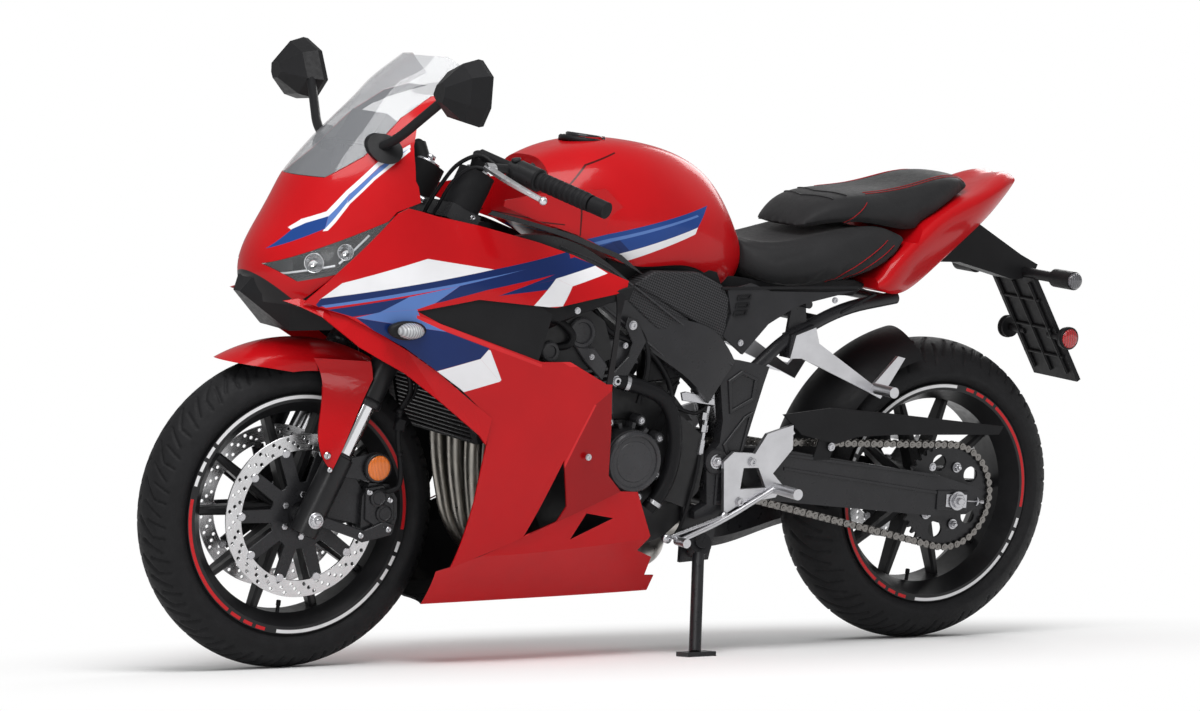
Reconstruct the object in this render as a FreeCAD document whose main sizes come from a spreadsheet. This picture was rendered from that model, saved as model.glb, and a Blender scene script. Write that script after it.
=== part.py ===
import FreeCAD, Part
import math
import os
import re
import Sketcher
from FreeCAD import Placement, Rotation, Vector

# A full-fairing sport motorcycle, standing on its side stand. Millimetres.
# It is drawn upright: x runs rearwards from the front axle, y to the rider's right, z up
# from the ground. The finished pieces are then leaned over to the left and moved so that
# the origin lies on the ground under the middle of the machine.

os.makedirs("parts", exist_ok=True)
doc = FreeCAD.newDocument("sport_motorcycle")
sheet = doc.addObject("Spreadsheet::Sheet", "sizes")

SIZES = [
    # Whole machine
    ("wheelbase", 1450, "front axle to rear axle"),
    ("lean_deg", 8.5, "how far it leans on its side stand"),
    ("rake_deg", 25.5, "steering axis from the vertical"),
    ("trail", 101, "ground contact behind the steering axis"),
    ("origin_back", 754, "origin behind the front axle"),
    ("origin_left", 150, "origin left of the wheel line"),
    # Wheels
    ("front_radius", 300, "front tyre, axle to tread"),
    ("front_half_width", 60, "front tyre"),
    ("front_crown", 62, "front tread curve across"),
    ("front_rim_half", 54, "front rim, half its width"),
    ("rear_radius", 315, "rear tyre, axle to tread"),
    ("rear_half_width", 90, "rear tyre"),
    ("rear_crown", 95, "rear tread curve across"),
    ("rear_rim_half", 80, "rear rim, half its width"),
    ("bead_radius", 217, "bead seat of both rims"),
    ("flange_height", 11, "rim flange above the bead seat"),
    ("flange_wall", 7, "rim flange thickness"),
    ("well_depth", 17, "drop centre below the bead seat"),
    ("rim_wall", 8, "rim barrel thickness"),
    ("spoke_pairs", 5, "pairs of spokes in a wheel"),
    ("spoke_spread_deg", 17, "rim end of a spoke from the middle of its pair"),
    ("spoke_root_deg", 6, "hub end of a spoke from the middle of its pair"),
    ("axle_radius", 12.5, "both axles"),
    ("axle_fit", 0.4, "running clearance of a hub on its axle"),
    ("front_hub_radius", 36, "front hub"),
    ("rear_hub_radius", 44, "rear hub"),
    ("rear_hub_left", 86, "left end of the rear hub from the wheel line"),
    ("disc_seat", 8, "how far a disc reaches in under the rim of its hub"),
    # Brakes and final drive
    ("front_disc_radius", 155, "front brake discs"),
    ("front_disc_inner", 124, "inner edge of the disc ring"),
    ("front_disc_side", 62, "disc middle from the wheel line"),
    ("disc_thickness", 4.5, "brake discs"),
    ("disc_arms", 10, "arms and buttons of a front disc"),
    ("rear_disc_radius", 120, "rear brake disc"),
    ("rear_disc_inner", 88, "inner edge of the rear disc ring"),
    ("rear_disc_side", 100, "rear disc middle from the wheel line"),
    ("disc_play", 6, "caliper slot clearance each side of a disc"),
    ("chain_pitch", 15.875, "chain and teeth"),
    ("sprocket_teeth", 42, "rear sprocket"),
    ("drive_teeth", 15, "engine sprocket"),
    ("sprocket_thickness", 6, "both sprockets"),
    ("chain_side", 112, "chain middle from the wheel line"),
    ("chain_half_width", 9, "chain, half over its plates"),
    ("chain_half_height", 7.5, "chain, half the height of a plate"),
    # Fork and steering
    ("fork_half_gap", 100, "fork leg from the wheel line"),
    ("fork_outer_radius", 27, "upper fork tube"),
    ("fork_inner_radius", 20.5, "chromed lower fork tube"),
    ("fork_bottom_radius", 27, "fork bottom casting"),
    ("fork_bottom_length", 128, "casting above the axle"),
    ("fork_tube_start", 236, "lower end of the upper tube along the leg"),
    ("lower_yoke_along", 470, "lower yoke along the leg"),
    ("head_length", 118, "steering head between the yokes, along the leg"),
    ("clip_height", 52, "fork above the upper yoke, in the handlebar clamp"),
    ("yoke_thickness", 30, "both yokes"),
    ("head_tube_radius", 36, "steering head of the frame"),
    ("stem_radius", 16, "steering stem"),
    ("stem_fit", 0.5, "clearance round the steering stem and over the yokes"),
    ("bar_radius", 11, "handlebar tube"),
    ("grip_radius", 16.5, "handlebar grips"),
    ("grip_length", 125, "handlebar grips"),
    ("bar_weight_radius", 16, "weights at the ends of the handlebars"),
    # Frame, engine and swingarm
    ("spar_thickness", 30, "frame spars across"),
    ("pivot_plate_side", 135, "inner face of the pivot plates"),
    ("pivot_plate_thickness", 26, "pivot plates"),
    ("pivot_back", 856, "swingarm pivot behind the front axle"),
    ("pivot_high", 405, "swingarm pivot above the ground"),
    ("pivot_radius", 12, "swingarm pivot bolt"),
    ("pivot_reach", 168, "swingarm pivot bolt, half its length"),
    ("arm_side", 135, "swingarm leg middle from the wheel line"),
    ("arm_thickness", 24, "swingarm legs across"),
    ("crank_half_width", 128, "crankcase, half its width"),
    ("head_half_width", 165, "cylinder head, half its width"),
    ("generator_radius", 62, "generator cover"),
    ("generator_side", 194, "generator cover face from the wheel line"),
    ("radiator_half_width", 150, "radiator core"),
    ("radiator_height", 205, "radiator core"),
    ("radiator_depth", 26, "radiator core"),
    ("header_radius", 17.5, "exhaust header pipes"),
    ("header_gap", 76, "spacing of the exhaust ports"),
    # Bodywork
    ("panel", 3.5, "thickness of fairing panels"),
    ("seam", 1, "gap between bodywork panels"),
    ("seat_gap", 0.6, "gap under the seats"),
    ("hanger_radius", 13, "frame tubes under the seat"),
    ("fender_gap", 22, "front fender above the tyre"),
    ("hugger_gap", 20, "rear fender above the tyre"),
    # Controls and stand
    ("peg_radius", 11, "foot pegs"),
    ("peg_length", 85, "foot pegs"),
    ("stand_pin_radius", 8, "pin that the side stand turns on"),
    ("stand_radius", 12, "side stand tube"),
    ("stand_foot_side", 262, "stand foot from the wheel line"),
    ("stand_foot_back", 768, "stand foot behind the front axle"),
]

for row, (word, value, meaning) in enumerate(SIZES, start=1):
    sheet.set("A%d" % row, word)
    sheet.set("B%d" % row, str(value))
    sheet.setAlias("B%d" % row, word)
    sheet.set("C%d" % row, meaning)
doc.recompute()
WORDS = re.compile(r"\b(" + "|".join(sorted((s[0] for s in SIZES), key=len, reverse=True)) + r")\b")


def linked(text):
    return WORDS.sub(r"sizes.\1", str(text))


def size(text):
    return float(sheet.evalExpression(linked(text)))


def bind(thing, **sizes):
    for name, text in sizes.items():
        thing.setExpression(name, linked(text))
    return thing


# Places that follow the driving sizes
DRAWN_WHEELBASE = 1450.0
STRETCH = size("wheelbase") / DRAWN_WHEELBASE
RAKE = math.radians(size("rake_deg"))
UP_FORK = Vector(math.sin(RAKE), 0, math.cos(RAKE))
ACROSS = Vector(0, 1, 0)
UP = Vector(0, 0, 1)
BACK = Vector(1, 0, 0)
AXIS_FOOT = Vector(-size("trail"), 0, 0)
FRONT_AXLE = Vector(0, 0, size("front_radius"))
REAR_AXLE = Vector(size("wheelbase"), 0, size("rear_radius"))


def spot(x, y, z):
    return Vector(x * STRETCH, y, z)


def leg(along, side=0.0):
    return FRONT_AXLE + UP_FORK * along + ACROSS * side


def stem(along):
    point = leg(along)
    return AXIS_FOOT + UP_FORK * ((point - AXIS_FOOT).dot(UP_FORK))


# Small builders
def turned_to(direction):
    return Rotation(UP, direction)


def rod(name, radius, length, start, direction):
    piece = doc.addObject("Part::Cylinder", name)
    bind(piece, Radius=radius, Height=length)
    piece.Placement = Placement(start, turned_to(direction))
    return piece


def block(name, length, width, height, centre, tilt=0.0):
    # A box centred on a point, its length along x before it is tilted about y
    piece = doc.addObject("Part::Box", name)
    bind(piece, Length=length, Width=width, Height=height)
    turn = Rotation(ACROSS, tilt)
    half = Vector(size(length) / 2, size(width) / 2, size(height) / 2)
    piece.Placement = Placement(centre - turn.multVec(half), turn)
    return piece


def path(start, *steps, close=False):
    # Straight to a point, by an arc through (middle, end), or along a curve through more
    edges = []
    here = start
    for step in steps:
        if isinstance(step, Vector):
            edges.append(Part.makeLine(here, step))
            here = step
        elif len(step) == 2:
            edges.append(Part.Arc(here, step[0], step[1]).toShape())
            here = step[1]
        else:
            curve = Part.BSplineCurve()
            curve.interpolate([here] + list(step))
            edges.append(curve.toShape())
            here = step[-1]
    if close:
        edges.append(Part.makeLine(here, start))
    return Part.Wire(edges)


def drawn(name, wire):
    thing = doc.addObject("Part::Feature", name)
    thing.Shape = wire
    return thing


def slab(name, wire, direction, thickness, both=False):
    piece = doc.addObject("Part::Extrusion", name)
    piece.Base = drawn(name + "_outline", wire)
    piece.DirMode = "Custom"
    piece.Dir = direction
    piece.Solid = True
    piece.Symmetric = both
    bind(piece, LengthFwd=thickness)
    return piece


def side_slab(name, points, y, thickness):
    # A plate drawn in side view, from y outwards to y plus the thickness
    corners = [spot(x, y, z) for x, z in points]
    wire = Part.makePolygon(corners + [corners[0]])
    return slab(name, wire, ACROSS, thickness)


def loft(name, wires, ruled=False):
    piece = doc.addObject("Part::Loft", name)
    piece.Sections = [drawn("%s_section_%d" % (name, i), wire) for i, wire in enumerate(wires)]
    piece.Solid = True
    piece.Ruled = ruled
    return piece


def spun(name, wire, centre, angle=360.0, start=0.0):
    piece = doc.addObject("Part::Revolution", name)
    piece.Source = drawn(name + "_outline", wire)
    piece.Axis = ACROSS
    piece.Base = centre
    piece.Angle = angle
    piece.Solid = True
    return piece


def cut(name, base, *tools):
    piece = doc.addObject("Part::Cut", name)
    piece.Base = base
    piece.Tool = tools[0] if len(tools) == 1 else fuse(name + "_tools", *tools)
    return piece


def fuse(name, *parts):
    piece = doc.addObject("Part::MultiFuse", name)
    piece.Shapes = list(parts)
    return piece


def common(name, *parts):
    piece = doc.addObject("Part::MultiCommon", name)
    piece.Shapes = list(parts)
    return piece


def mirrored(name, source):
    piece = doc.addObject("Part::Mirroring", name)
    piece.Source = source
    piece.Normal = ACROSS
    piece.Base = Vector(0, 0, 0)
    return piece


def rounded_route(points, share=0.45):
    # Straight runs joined by tangent arcs, each as large as its two runs allow
    steps = []
    for i in range(1, len(points) - 1):
        before, corner, after = points[i - 1], points[i], points[i + 1]
        to_before = (before - corner).normalize()
        to_after = (after - corner).normalize()
        shorter = min((before - corner).Length, (after - corner).Length)
        reach = shorter * share
        turn = math.pi - to_before.getAngle(to_after)
        radius = reach / math.tan(turn / 2)
        middle_way = (to_before + to_after).normalize()
        middle = corner + middle_way * (math.hypot(radius, reach) - radius)
        steps += [corner + to_before * reach, (middle, corner + to_after * reach)]
    steps.append(points[-1])
    return path(points[0], *steps)


def tube(name, points, radius):
    spine = drawn(name + "_spine", rounded_route(points))
    ring = doc.addObject("Part::Circle", name + "_ring")
    bind(ring, Radius=radius)
    ring.Placement = Placement(points[0], turned_to(points[1] - points[0]))
    piece = doc.addObject("Part::Sweep", name)
    piece.Sections = [ring]
    piece.Spine = (spine, ["Edge%d" % (i + 1) for i in range(len(spine.Shape.Edges))])
    piece.Solid = True
    piece.Frenet = False
    piece.Transition = "Right corner"
    return piece


PIECES = []
RIGHT_HANDS = []


def finished(label, piece):
    piece.Label = label
    PIECES.append(piece)
    return piece


def right_hand(label, source):
    # The right-hand copy of a finished left-hand piece
    piece = mirrored(label, source)
    RIGHT_HANDS.append(piece)
    return finished(label, piece)


def origin_plane(body, role):
    return next(f for f in body.Origin.OriginFeatures if f.Role == role)


def flat_sketch(body, name, role="XZ_Plane"):
    sketch = body.newObject("Sketcher::SketchObject", name)
    sketch.AttachmentSupport = [(origin_plane(body, role), "")]
    sketch.MapMode = "FlatFace"
    return sketch


def ring_sketch(sketch, radii):
    for radius in radii:
        circle = Part.Circle(Vector(0, 0, 0), Vector(0, 0, 1), size(radius))
        number = sketch.addGeometry(circle)
        sketch.addConstraint(Sketcher.Constraint("Coincident", number, 3, -1, 1))
        rule = sketch.addConstraint(Sketcher.Constraint("Radius", number, size(radius)))
        sketch.setExpression("Constraints[%d]" % rule, linked(radius))


def arm_sketch(sketch, inner, outer, half_width):
    # A straight arm along the sketch's x, from one radius to another
    corners = [(inner, "-(%s)" % half_width), (outer, "-(%s)" % half_width),
               (outer, half_width), (inner, half_width)]
    points = [Vector(size(a), size(b), 0) for a, b in corners]
    for i in range(4):
        sketch.addGeometry(Part.LineSegment(points[i], points[(i + 1) % 4]))
    for i in range(4):
        sketch.addConstraint(Sketcher.Constraint("Coincident", i, 2, (i + 1) % 4, 1))
    for i in range(4):
        for kind, text in (("DistanceX", corners[i][0]), ("DistanceY", corners[i][1])):
            rule = sketch.addConstraint(Sketcher.Constraint(kind, -1, 1, i, 1, size(text)))
            sketch.setExpression("Constraints[%d]" % rule, linked(text))


def middle_pad(body, name, sketch, thickness):
    pad = body.newObject("PartDesign::Pad", name)
    pad.Profile = sketch
    pad.Midplane = True
    bind(pad, Length=thickness)
    return pad


def around(body, name, feature, count):
    pattern = body.newObject("PartDesign::PolarPattern", name)
    pattern.Originals = [feature]
    pattern.Axis = (origin_plane(body, "Y_Axis"), [""])
    pattern.Angle = 360
    bind(pattern, Occurrences=count)
    body.Tip = pattern
    return pattern


# The upper yoke and the top of the fork lie above the lower yoke along the leg
UPPER_YOKE = "(lower_yoke_along + yoke_thickness + head_length)"
FORK_TOP = "(lower_yoke_along + 2 * yoke_thickness + head_length + clip_height)"

# The hubs end where the discs bolt on
FRONT_HUB = "front_disc_side - disc_thickness / 2"
REAR_HUB = "rear_disc_side - disc_thickness / 2"


# Wheels
def tyre(label, centre, radius, half_width, crown, rim_half):
    r, w, c = size(radius), size(half_width), size(crown)
    bead, rim = size("bead_radius"), size(rim_half)
    lip = rim - size("flange_wall") - 0.5
    shoulder = r - c + math.sqrt(c * c - w * w)
    top = bead + size("flange_height") + 1.5

    def at(y, distance):
        return centre + Vector(0, y, distance)

    wire = path(
        at(-lip, bead + 0.3),
        at(-lip, top),
        (at(-w * 0.985, (top + shoulder) / 2 + 2), at(-w, shoulder)),
        (at(0, r), at(w, shoulder)),
        (at(w * 0.985, (top + shoulder) / 2 + 2), at(lip, top)),
        at(lip, bead + 0.3),
        at(lip - 14, bead + 0.3),
        at(lip - 12, bead + 14),
        (at(0, r - 16), at(-lip + 12, bead + 14)),
        at(-lip + 14, bead + 0.3),
        close=True)
    return finished(label, spun(label, wire, centre))


def rim(label, centre, rim_half, hub_radius, hub_left, hub_right, depth_hub, depth_rim):
    w = size(rim_half)
    bead, flange = size("bead_radius"), size("flange_height")
    wall, lip, well = size("rim_wall"), size("flange_wall"), size("well_depth")
    rows = [(w, bead + flange), (w - lip, bead + flange), (w - lip, bead), (w - lip - 15, bead),
            (w * 0.40, bead - well), (-w * 0.40, bead - well), (-w + lip + 15, bead),
            (-w + lip, bead), (-w + lip, bead + flange), (-w, bead + flange),
            (-w, bead - 3), (-w * 0.46, bead - well - wall), (w * 0.46, bead - well - wall),
            (w, bead - 3)]
    points = [centre + Vector(0, y, r) for y, r in rows]
    barrel = spun(label + "_barrel", Part.makePolygon(points + [points[0]]), centre)
    length = "(%s) + (%s)" % (hub_left, hub_right)
    hub = rod(label + "_hub", hub_radius, length, centre - ACROSS * size(hub_left), ACROSS)
    inner = size(hub_radius) * 0.8
    outer = bead - well - wall + 3
    count = int(round(size("spoke_pairs")))
    spokes = []
    for pair in range(count):
        middle = math.radians(180.0 + 360.0 / count * (pair + 0.5))
        for sign in (-1, 1):
            root = middle + sign * math.radians(size("spoke_root_deg"))
            tip = middle + sign * math.radians(size("spoke_spread_deg"))
            start = centre + Vector(math.sin(root), 0, math.cos(root)) * inner
            end = centre + Vector(math.sin(tip), 0, math.cos(tip)) * outer
            run = (end - start).normalize()
            flat = run.cross(ACROSS)
            sections = []
            for place, half, depth in ((start, 12.0, depth_hub), (end, 7.5, depth_rim)):
                corners = [place + flat * (a * half) + ACROSS * (b * depth)
                           for a, b in ((-1, -0.7), (-0.5, -1), (0.5, -1), (1, -0.7),
                                        (1, 0.7), (0.5, 1), (-0.5, 1), (-1, 0.7))]
                sections.append(Part.makePolygon(corners + [corners[0]]))
            spokes.append(loft("%s_spoke_%d_%d" % (label, pair, sign), sections, ruled=True))
    bore = rod(label + "_bore", "axle_radius + axle_fit", length + " + 40",
               centre - ACROSS * (size(hub_left) + 20), ACROSS)
    solid = fuse(label + "_solid", barrel, hub, *spokes)
    return finished(label, cut(label, solid, bore))


def disc(label, centre, outer, inner, arm_root, hole, arms):
    body = doc.addObject("PartDesign::Body", label)
    ring = flat_sketch(body, label + "_ring_sketch")
    ring_sketch(ring, [outer, inner])
    middle_pad(body, label + "_ring", ring, "disc_thickness")
    carrier = flat_sketch(body, label + "_carrier_sketch")
    ring_sketch(carrier, [arm_root, hole])
    middle_pad(body, label + "_carrier", carrier, "disc_thickness")
    arm = flat_sketch(body, label + "_arm_sketch")
    arm_sketch(arm, arm_root + " - 4", inner + " + 5", "6")
    pad = middle_pad(body, label + "_arm", arm, "disc_thickness + 2")
    around(body, label + "_arms", pad, arms)
    body.Placement = Placement(centre, Rotation())
    return finished(label, body)


def wheels():
    tyre("front_tyre", FRONT_AXLE, "front_radius", "front_half_width", "front_crown",
         "front_rim_half")
    rim("front_rim", FRONT_AXLE, "front_rim_half", "front_hub_radius", FRONT_HUB, FRONT_HUB,
        20, 13)
    tyre("rear_tyre", REAR_AXLE, "rear_radius", "rear_half_width", "rear_crown",
         "rear_rim_half")
    rim("rear_rim", REAR_AXLE, "rear_rim_half", "rear_hub_radius", "rear_hub_left", REAR_HUB,
        26, 16)
    for side, word in ((-1, "left"), (1, "right")):
        disc("front_disc_" + word, FRONT_AXLE + ACROSS * (side * size("front_disc_side")),
             "front_disc_radius", "front_disc_inner", "62", "front_hub_radius - disc_seat",
             "disc_arms")
    disc("rear_disc", REAR_AXLE + ACROSS * size("rear_disc_side"),
         "rear_disc_radius", "rear_disc_inner", "52", "rear_hub_radius - disc_seat", "6")


def pitch_radius(teeth):
    return size("chain_pitch") / 2 / math.sin(math.pi / teeth)


def tooth_outline(centre, teeth):
    # Flat-topped teeth round the pitch circle
    low = pitch_radius(teeth) - size("chain_half_height") * 0.62
    high = pitch_radius(teeth) + size("chain_half_height") * 0.55
    points = []
    step = 2 * math.pi / teeth
    for i in range(int(teeth)):
        for part, radius in ((-0.34, low), (-0.12, high), (0.12, high), (0.34, low)):
            angle = (i + part) * step
            points.append(centre + Vector(math.cos(angle), 0, math.sin(angle)) * radius)
    return Part.makePolygon(points + [points[0]])


def final_drive():
    half = size("sprocket_thickness") / 2
    side = -size("chain_side")
    middle = REAR_AXLE + ACROSS * (side - half)
    blank = slab("sprocket_blank", tooth_outline(middle, size("sprocket_teeth")), ACROSS,
                 "sprocket_thickness")
    windows = []
    for i in range(5):
        angle = math.radians(72 * i + 36)
        place = middle + Vector(math.cos(angle), 0, math.sin(angle)) * 72 - ACROSS * 5
        windows.append(rod("sprocket_window_%d" % i, "17", "sprocket_thickness + 10",
                           place, ACROSS))
    bore = rod("sprocket_bore", "30", "sprocket_thickness + 10", middle - ACROSS * 5, ACROSS)
    carrier_length = "chain_side - sprocket_thickness / 2 - rear_hub_left"
    carrier = rod("sprocket_carrier", "58", carrier_length, middle + ACROSS * (2 * half), ACROSS)
    hollow = rod("sprocket_carrier_hollow", "30", carrier_length + " + 4",
                 middle + ACROSS * (2 * half - 2), ACROSS)
    plate = cut("sprocket_plate", blank, *windows, bore)
    ring = cut("sprocket_ring", carrier, hollow)
    finished("rear_sprocket", fuse("rear_sprocket", plate, ring))

    # The chain is a fixed loop, so it is open round both sprockets where they pass
    front = spot(790, side, 400)
    rear = REAR_AXLE + ACROSS * side
    r1, r2 = pitch_radius(size("drive_teeth")), pitch_radius(size("sprocket_teeth"))
    gap = rear - front
    level = math.atan2(gap.z, gap.x)
    wrap = math.acos((r1 - r2) / gap.Length)
    loops = []
    for grow in (size("chain_half_height"), -size("chain_half_height")):
        def on(centre, radius, angle):
            return centre + Vector(math.cos(angle), 0, math.sin(angle)) * (radius + grow)
        shift = ACROSS * -size("chain_half_width")
        a1 = on(front, r1, level + wrap) + shift
        a2 = on(front, r1, level - wrap) + shift
        am = on(front, r1, level + math.pi) + shift
        b1 = on(rear, r2, level + wrap) + shift
        b2 = on(rear, r2, level - wrap) + shift
        bm = on(rear, r2, level) + shift
        wire = path(a1, b1, (bm, b2), a2, (am, a1))
        loops.append(slab("chain_loop_%d" % len(loops), wire, ACROSS, "2 * chain_half_width"))
    band = cut("chain_band", loops[0], loops[1])
    gaps = []
    for word, centre, radius in (("front", front, r1), ("rear", rear, r2)):
        gaps.append(rod("chain_gap_" + word, "%f + chain_half_height + 6" % radius,
                        "sprocket_thickness + 4",
                        centre - ACROSS * (size("sprocket_thickness") / 2 + 2), ACROSS))
    finished("chain", cut("chain", band, *gaps))


# Steering
def steering():
    gap = size("fork_half_gap")
    for side, word in ((-1, "left"), (1, "right")):
        foot = leg(-32, side * gap)
        casting = rod("fork_casting_" + word, "fork_bottom_radius", "fork_bottom_length + 32",
                      foot, UP_FORK)
        chrome = rod("fork_chrome_" + word, "fork_inner_radius", FORK_TOP + " - 60",
                     leg(40, side * gap), UP_FORK)
        upper = rod("fork_upper_" + word, "fork_outer_radius", FORK_TOP + " - fork_tube_start",
                    leg(size("fork_tube_start"), side * gap), UP_FORK)
        solid = fuse("fork_solid_" + word, casting, chrome, upper)
        bore = rod("fork_axle_bore_" + word, "axle_radius", "120",
                   leg(0, side * gap) - ACROSS * 60, ACROSS)
        finished("fork_" + word, cut("fork_" + word, solid, bore))

    # The axle, with a collar each side between the hub and the fork
    half = gap + size("fork_bottom_radius") + 4
    bar = rod("front_axle_bar", "axle_radius", "2 * (fork_half_gap + fork_bottom_radius + 4)",
              FRONT_AXLE - ACROSS * half, ACROSS)
    collars = []
    for side in (-1, 1):
        start = size(FRONT_HUB) + size("axle_fit")
        first = FRONT_AXLE + ACROSS * (side * start)
        collars.append(rod("front_collar_%d" % side, "axle_radius + 5",
                           "fork_half_gap - fork_bottom_radius - axle_fit - (%s)" % FRONT_HUB,
                           first, ACROSS * side))
    finished("front_axle", fuse("front_axle", bar, *collars))

    # Two yokes clamp the legs to the stem; the stem turns in the frame's head tube
    yokes = []
    for word, along in (("lower", "lower_yoke_along"), ("upper", UPPER_YOKE)):
        centre = leg(size(along))
        turn = turned_to(UP_FORK)
        behind = (stem(size(along)) - centre).Length
        rows = [(-34, -gap - 30), (-34, gap + 30), (30, gap + 36), (behind + 14, 46),
                (behind + 30, 26), (behind + 30, -26), (behind + 14, -46), (30, -gap - 36)]
        points = [centre + turn.multVec(Vector(a, b, 0)) for a, b in rows]
        wire = Part.makePolygon(points + [points[0]])
        plate = slab("yoke_plate_" + word, wire, UP_FORK, "yoke_thickness")
        legs = [rod("yoke_bore_%s_%d" % (word, side), "fork_outer_radius",
                    "yoke_thickness + 20", leg(size(along) - 10, side * gap), UP_FORK)
                for side in (-1, 1)]
        yokes.append(cut("yoke_" + word, plate, *legs))
    post = rod("steering_post", "stem_radius",
               "head_length + 2 * yoke_thickness + 6",
               stem(size("lower_yoke_along")), UP_FORK)
    nut = rod("steering_nut", "stem_radius + 6", "10",
              stem(size(UPPER_YOKE) + size("yoke_thickness")), UP_FORK)
    finished("triple_clamps", fuse("triple_clamps", *yokes, post, nut))


def handlebars():
    gap = size("fork_half_gap")
    for side, word in ((-1, "left"), (1, "right")):
        # A riser on the top of the leg holds the tube, the grip and the end weight
        top = leg(size(FORK_TOP), side * gap)
        start = top + Vector(2, side * 25, 58)
        end = top + Vector(109, side * 272, -12)
        run = (end - start).normalize()
        reach = (end - start).Length
        grip_start = end - run * (size("grip_length") + 8)
        ring_low = size(UPPER_YOKE) + size("yoke_thickness")
        ring = rod("clip_ring_" + word, "fork_outer_radius + 9", "clip_height",
                   leg(ring_low, side * gap), UP_FORK)
        hole = rod("clip_hole_" + word, "fork_outer_radius", "clip_height + 20",
                   leg(ring_low - 20, side * gap), UP_FORK)
        cap = rod("clip_cap_" + word, "fork_outer_radius + 9", "24", top, UP_FORK)
        seat = top + UP_FORK * 16
        joiner = rod("clip_joiner_" + word, "15", "%f" % (seat - start).Length, start,
                     (seat - start).normalize())
        tube_piece = rod("bar_tube_" + word, "bar_radius", "%f" % reach, start, run)
        grip = rod("bar_grip_" + word, "grip_radius", "grip_length", grip_start, run)
        weight = rod("bar_weight_" + word, "bar_weight_radius", "34", end - run * 4, run)
        sleeve = cut("clip_sleeve_" + word, ring, hole)
        finished("handlebar_" + word, fuse("handlebar_" + word, sleeve, cap, joiner,
                                           tube_piece, grip, weight))

        # Switch box, perch and lever on the tube just inside the grip
        switch = rod("switch_box_" + word, "22", "48", grip_start - run * 50, run)
        perch_at = grip_start - run * 60
        perch = rod("perch_" + word, "18", "20", perch_at - run * 8, run)
        forward = Vector(-1, 0, 0.05).normalize()
        arm = rod("perch_arm_" + word, "9", "62", perch_at, forward)
        pivot = perch_at + forward * 56
        tip = grip_start + run * 118 + forward * 96 - UP * 4
        lever = loft("lever_" + word, [
            lever_section(pivot - ACROSS * (side * 6), tip - pivot, 10, 5),
            lever_section(pivot + (tip - pivot) * 0.45 + forward * 6, tip - pivot, 9, 5),
            lever_section(tip, tip - pivot, 6, 4.5)])
        ball = doc.addObject("Part::Sphere", "lever_ball_" + word)
        bind(ball, Radius="8")
        ball.Placement = Placement(tip, Rotation())
        hollow = rod("switch_bore_" + word, "bar_radius", "%f" % (reach * 1.2),
                     start - run * (reach * 0.1), run)
        body = fuse("controls_solid_" + word, switch, perch, arm, lever, ball)
        if side > 0:
            # The right side carries the brake fluid cup
            cup = rod("brake_cup", "19", "34", perch_at + forward * 22 + UP * 14, UP)
            neck = rod("brake_cup_neck", "9", "30", perch_at + forward * 22 - UP * 4, UP)
            body = fuse("controls_solid_cup", body, cup, neck)
        finished("controls_" + word, cut("controls_" + word, body, hollow))


def lever_section(place, way, half_wide, half_high):
    run = Vector(way.x, way.y, way.z).normalize()
    flat = run.cross(UP).normalize()
    lift = flat.cross(run)
    corners = [place + flat * (a * half_wide) + lift * (b * half_high)
               for a, b in ((-1, -0.5), (-0.5, -1), (0.5, -1), (1, -0.5),
                            (1, 0.5), (0.5, 1), (-0.5, 1), (-1, 0.5))]
    return Part.makePolygon(corners + [corners[0]])


def front_fender():
    r = size("front_radius") + size("fender_gap")
    wall = size("panel")
    w = size("front_half_width") + 6

    def ring(extra):
        return [(-w - extra, r - 48), (-w + 4 - extra * 0.9, r - 18),
                (0, r + 4 + extra), (w - 4 + extra * 0.9, r - 18), (w + extra, r - 48)]

    start = Rotation(ACROSS, -34)
    outer = [FRONT_AXLE + start.multVec(Vector(0, y, z)) for y, z in ring(wall)]
    inner = [FRONT_AXLE + start.multVec(Vector(0, y, z)) for y, z in ring(0)]
    wire = path(outer[0], outer[1:], inner[-1], list(reversed(inner[:-1])), close=True)
    arch = spun("fender_arch", wire, FRONT_AXLE, angle=66.0)
    # Ahead of the fork the sides are trimmed to a rising edge
    trim = side_slab("fender_trim", [(-260, 420), (-260, 596), (-172, 590), (-90, 580), (0, 566),
                                     (30, 552), (40, 420)], -120, "240")
    shell = cut("fender_shell", arch, trim)
    cheeks = []
    for side in (-1, 1):
        rows = [(598, (4, 64), (97, 120)), (540, (18, 84), (98, 130)),
                (430, (2, 120), (72, 131)), (384, (38, 128), (58, 131))]
        sections = []
        for z, (x1, y1), (x2, y2) in rows:
            a = Vector(x1, side * y1, z)
            b = Vector(x2, side * y2, z)
            out = ACROSS * (side * 3.5)
            sections.append(Part.makePolygon([a, b, b + out, a + out, a]))
        cheeks.append(loft("fender_cheek_%d" % side, sections))
        # A boss on the cheek bolts to the fork casting
        seat = size("fork_half_gap") + size("fork_bottom_radius") + 0.4
        cheeks.append(rod("fender_boss_%d" % side, "9", "5", leg(112, side * seat),
                          ACROSS * side))
    finished("front_fender", fuse("front_fender", shell, *cheeks))


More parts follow.
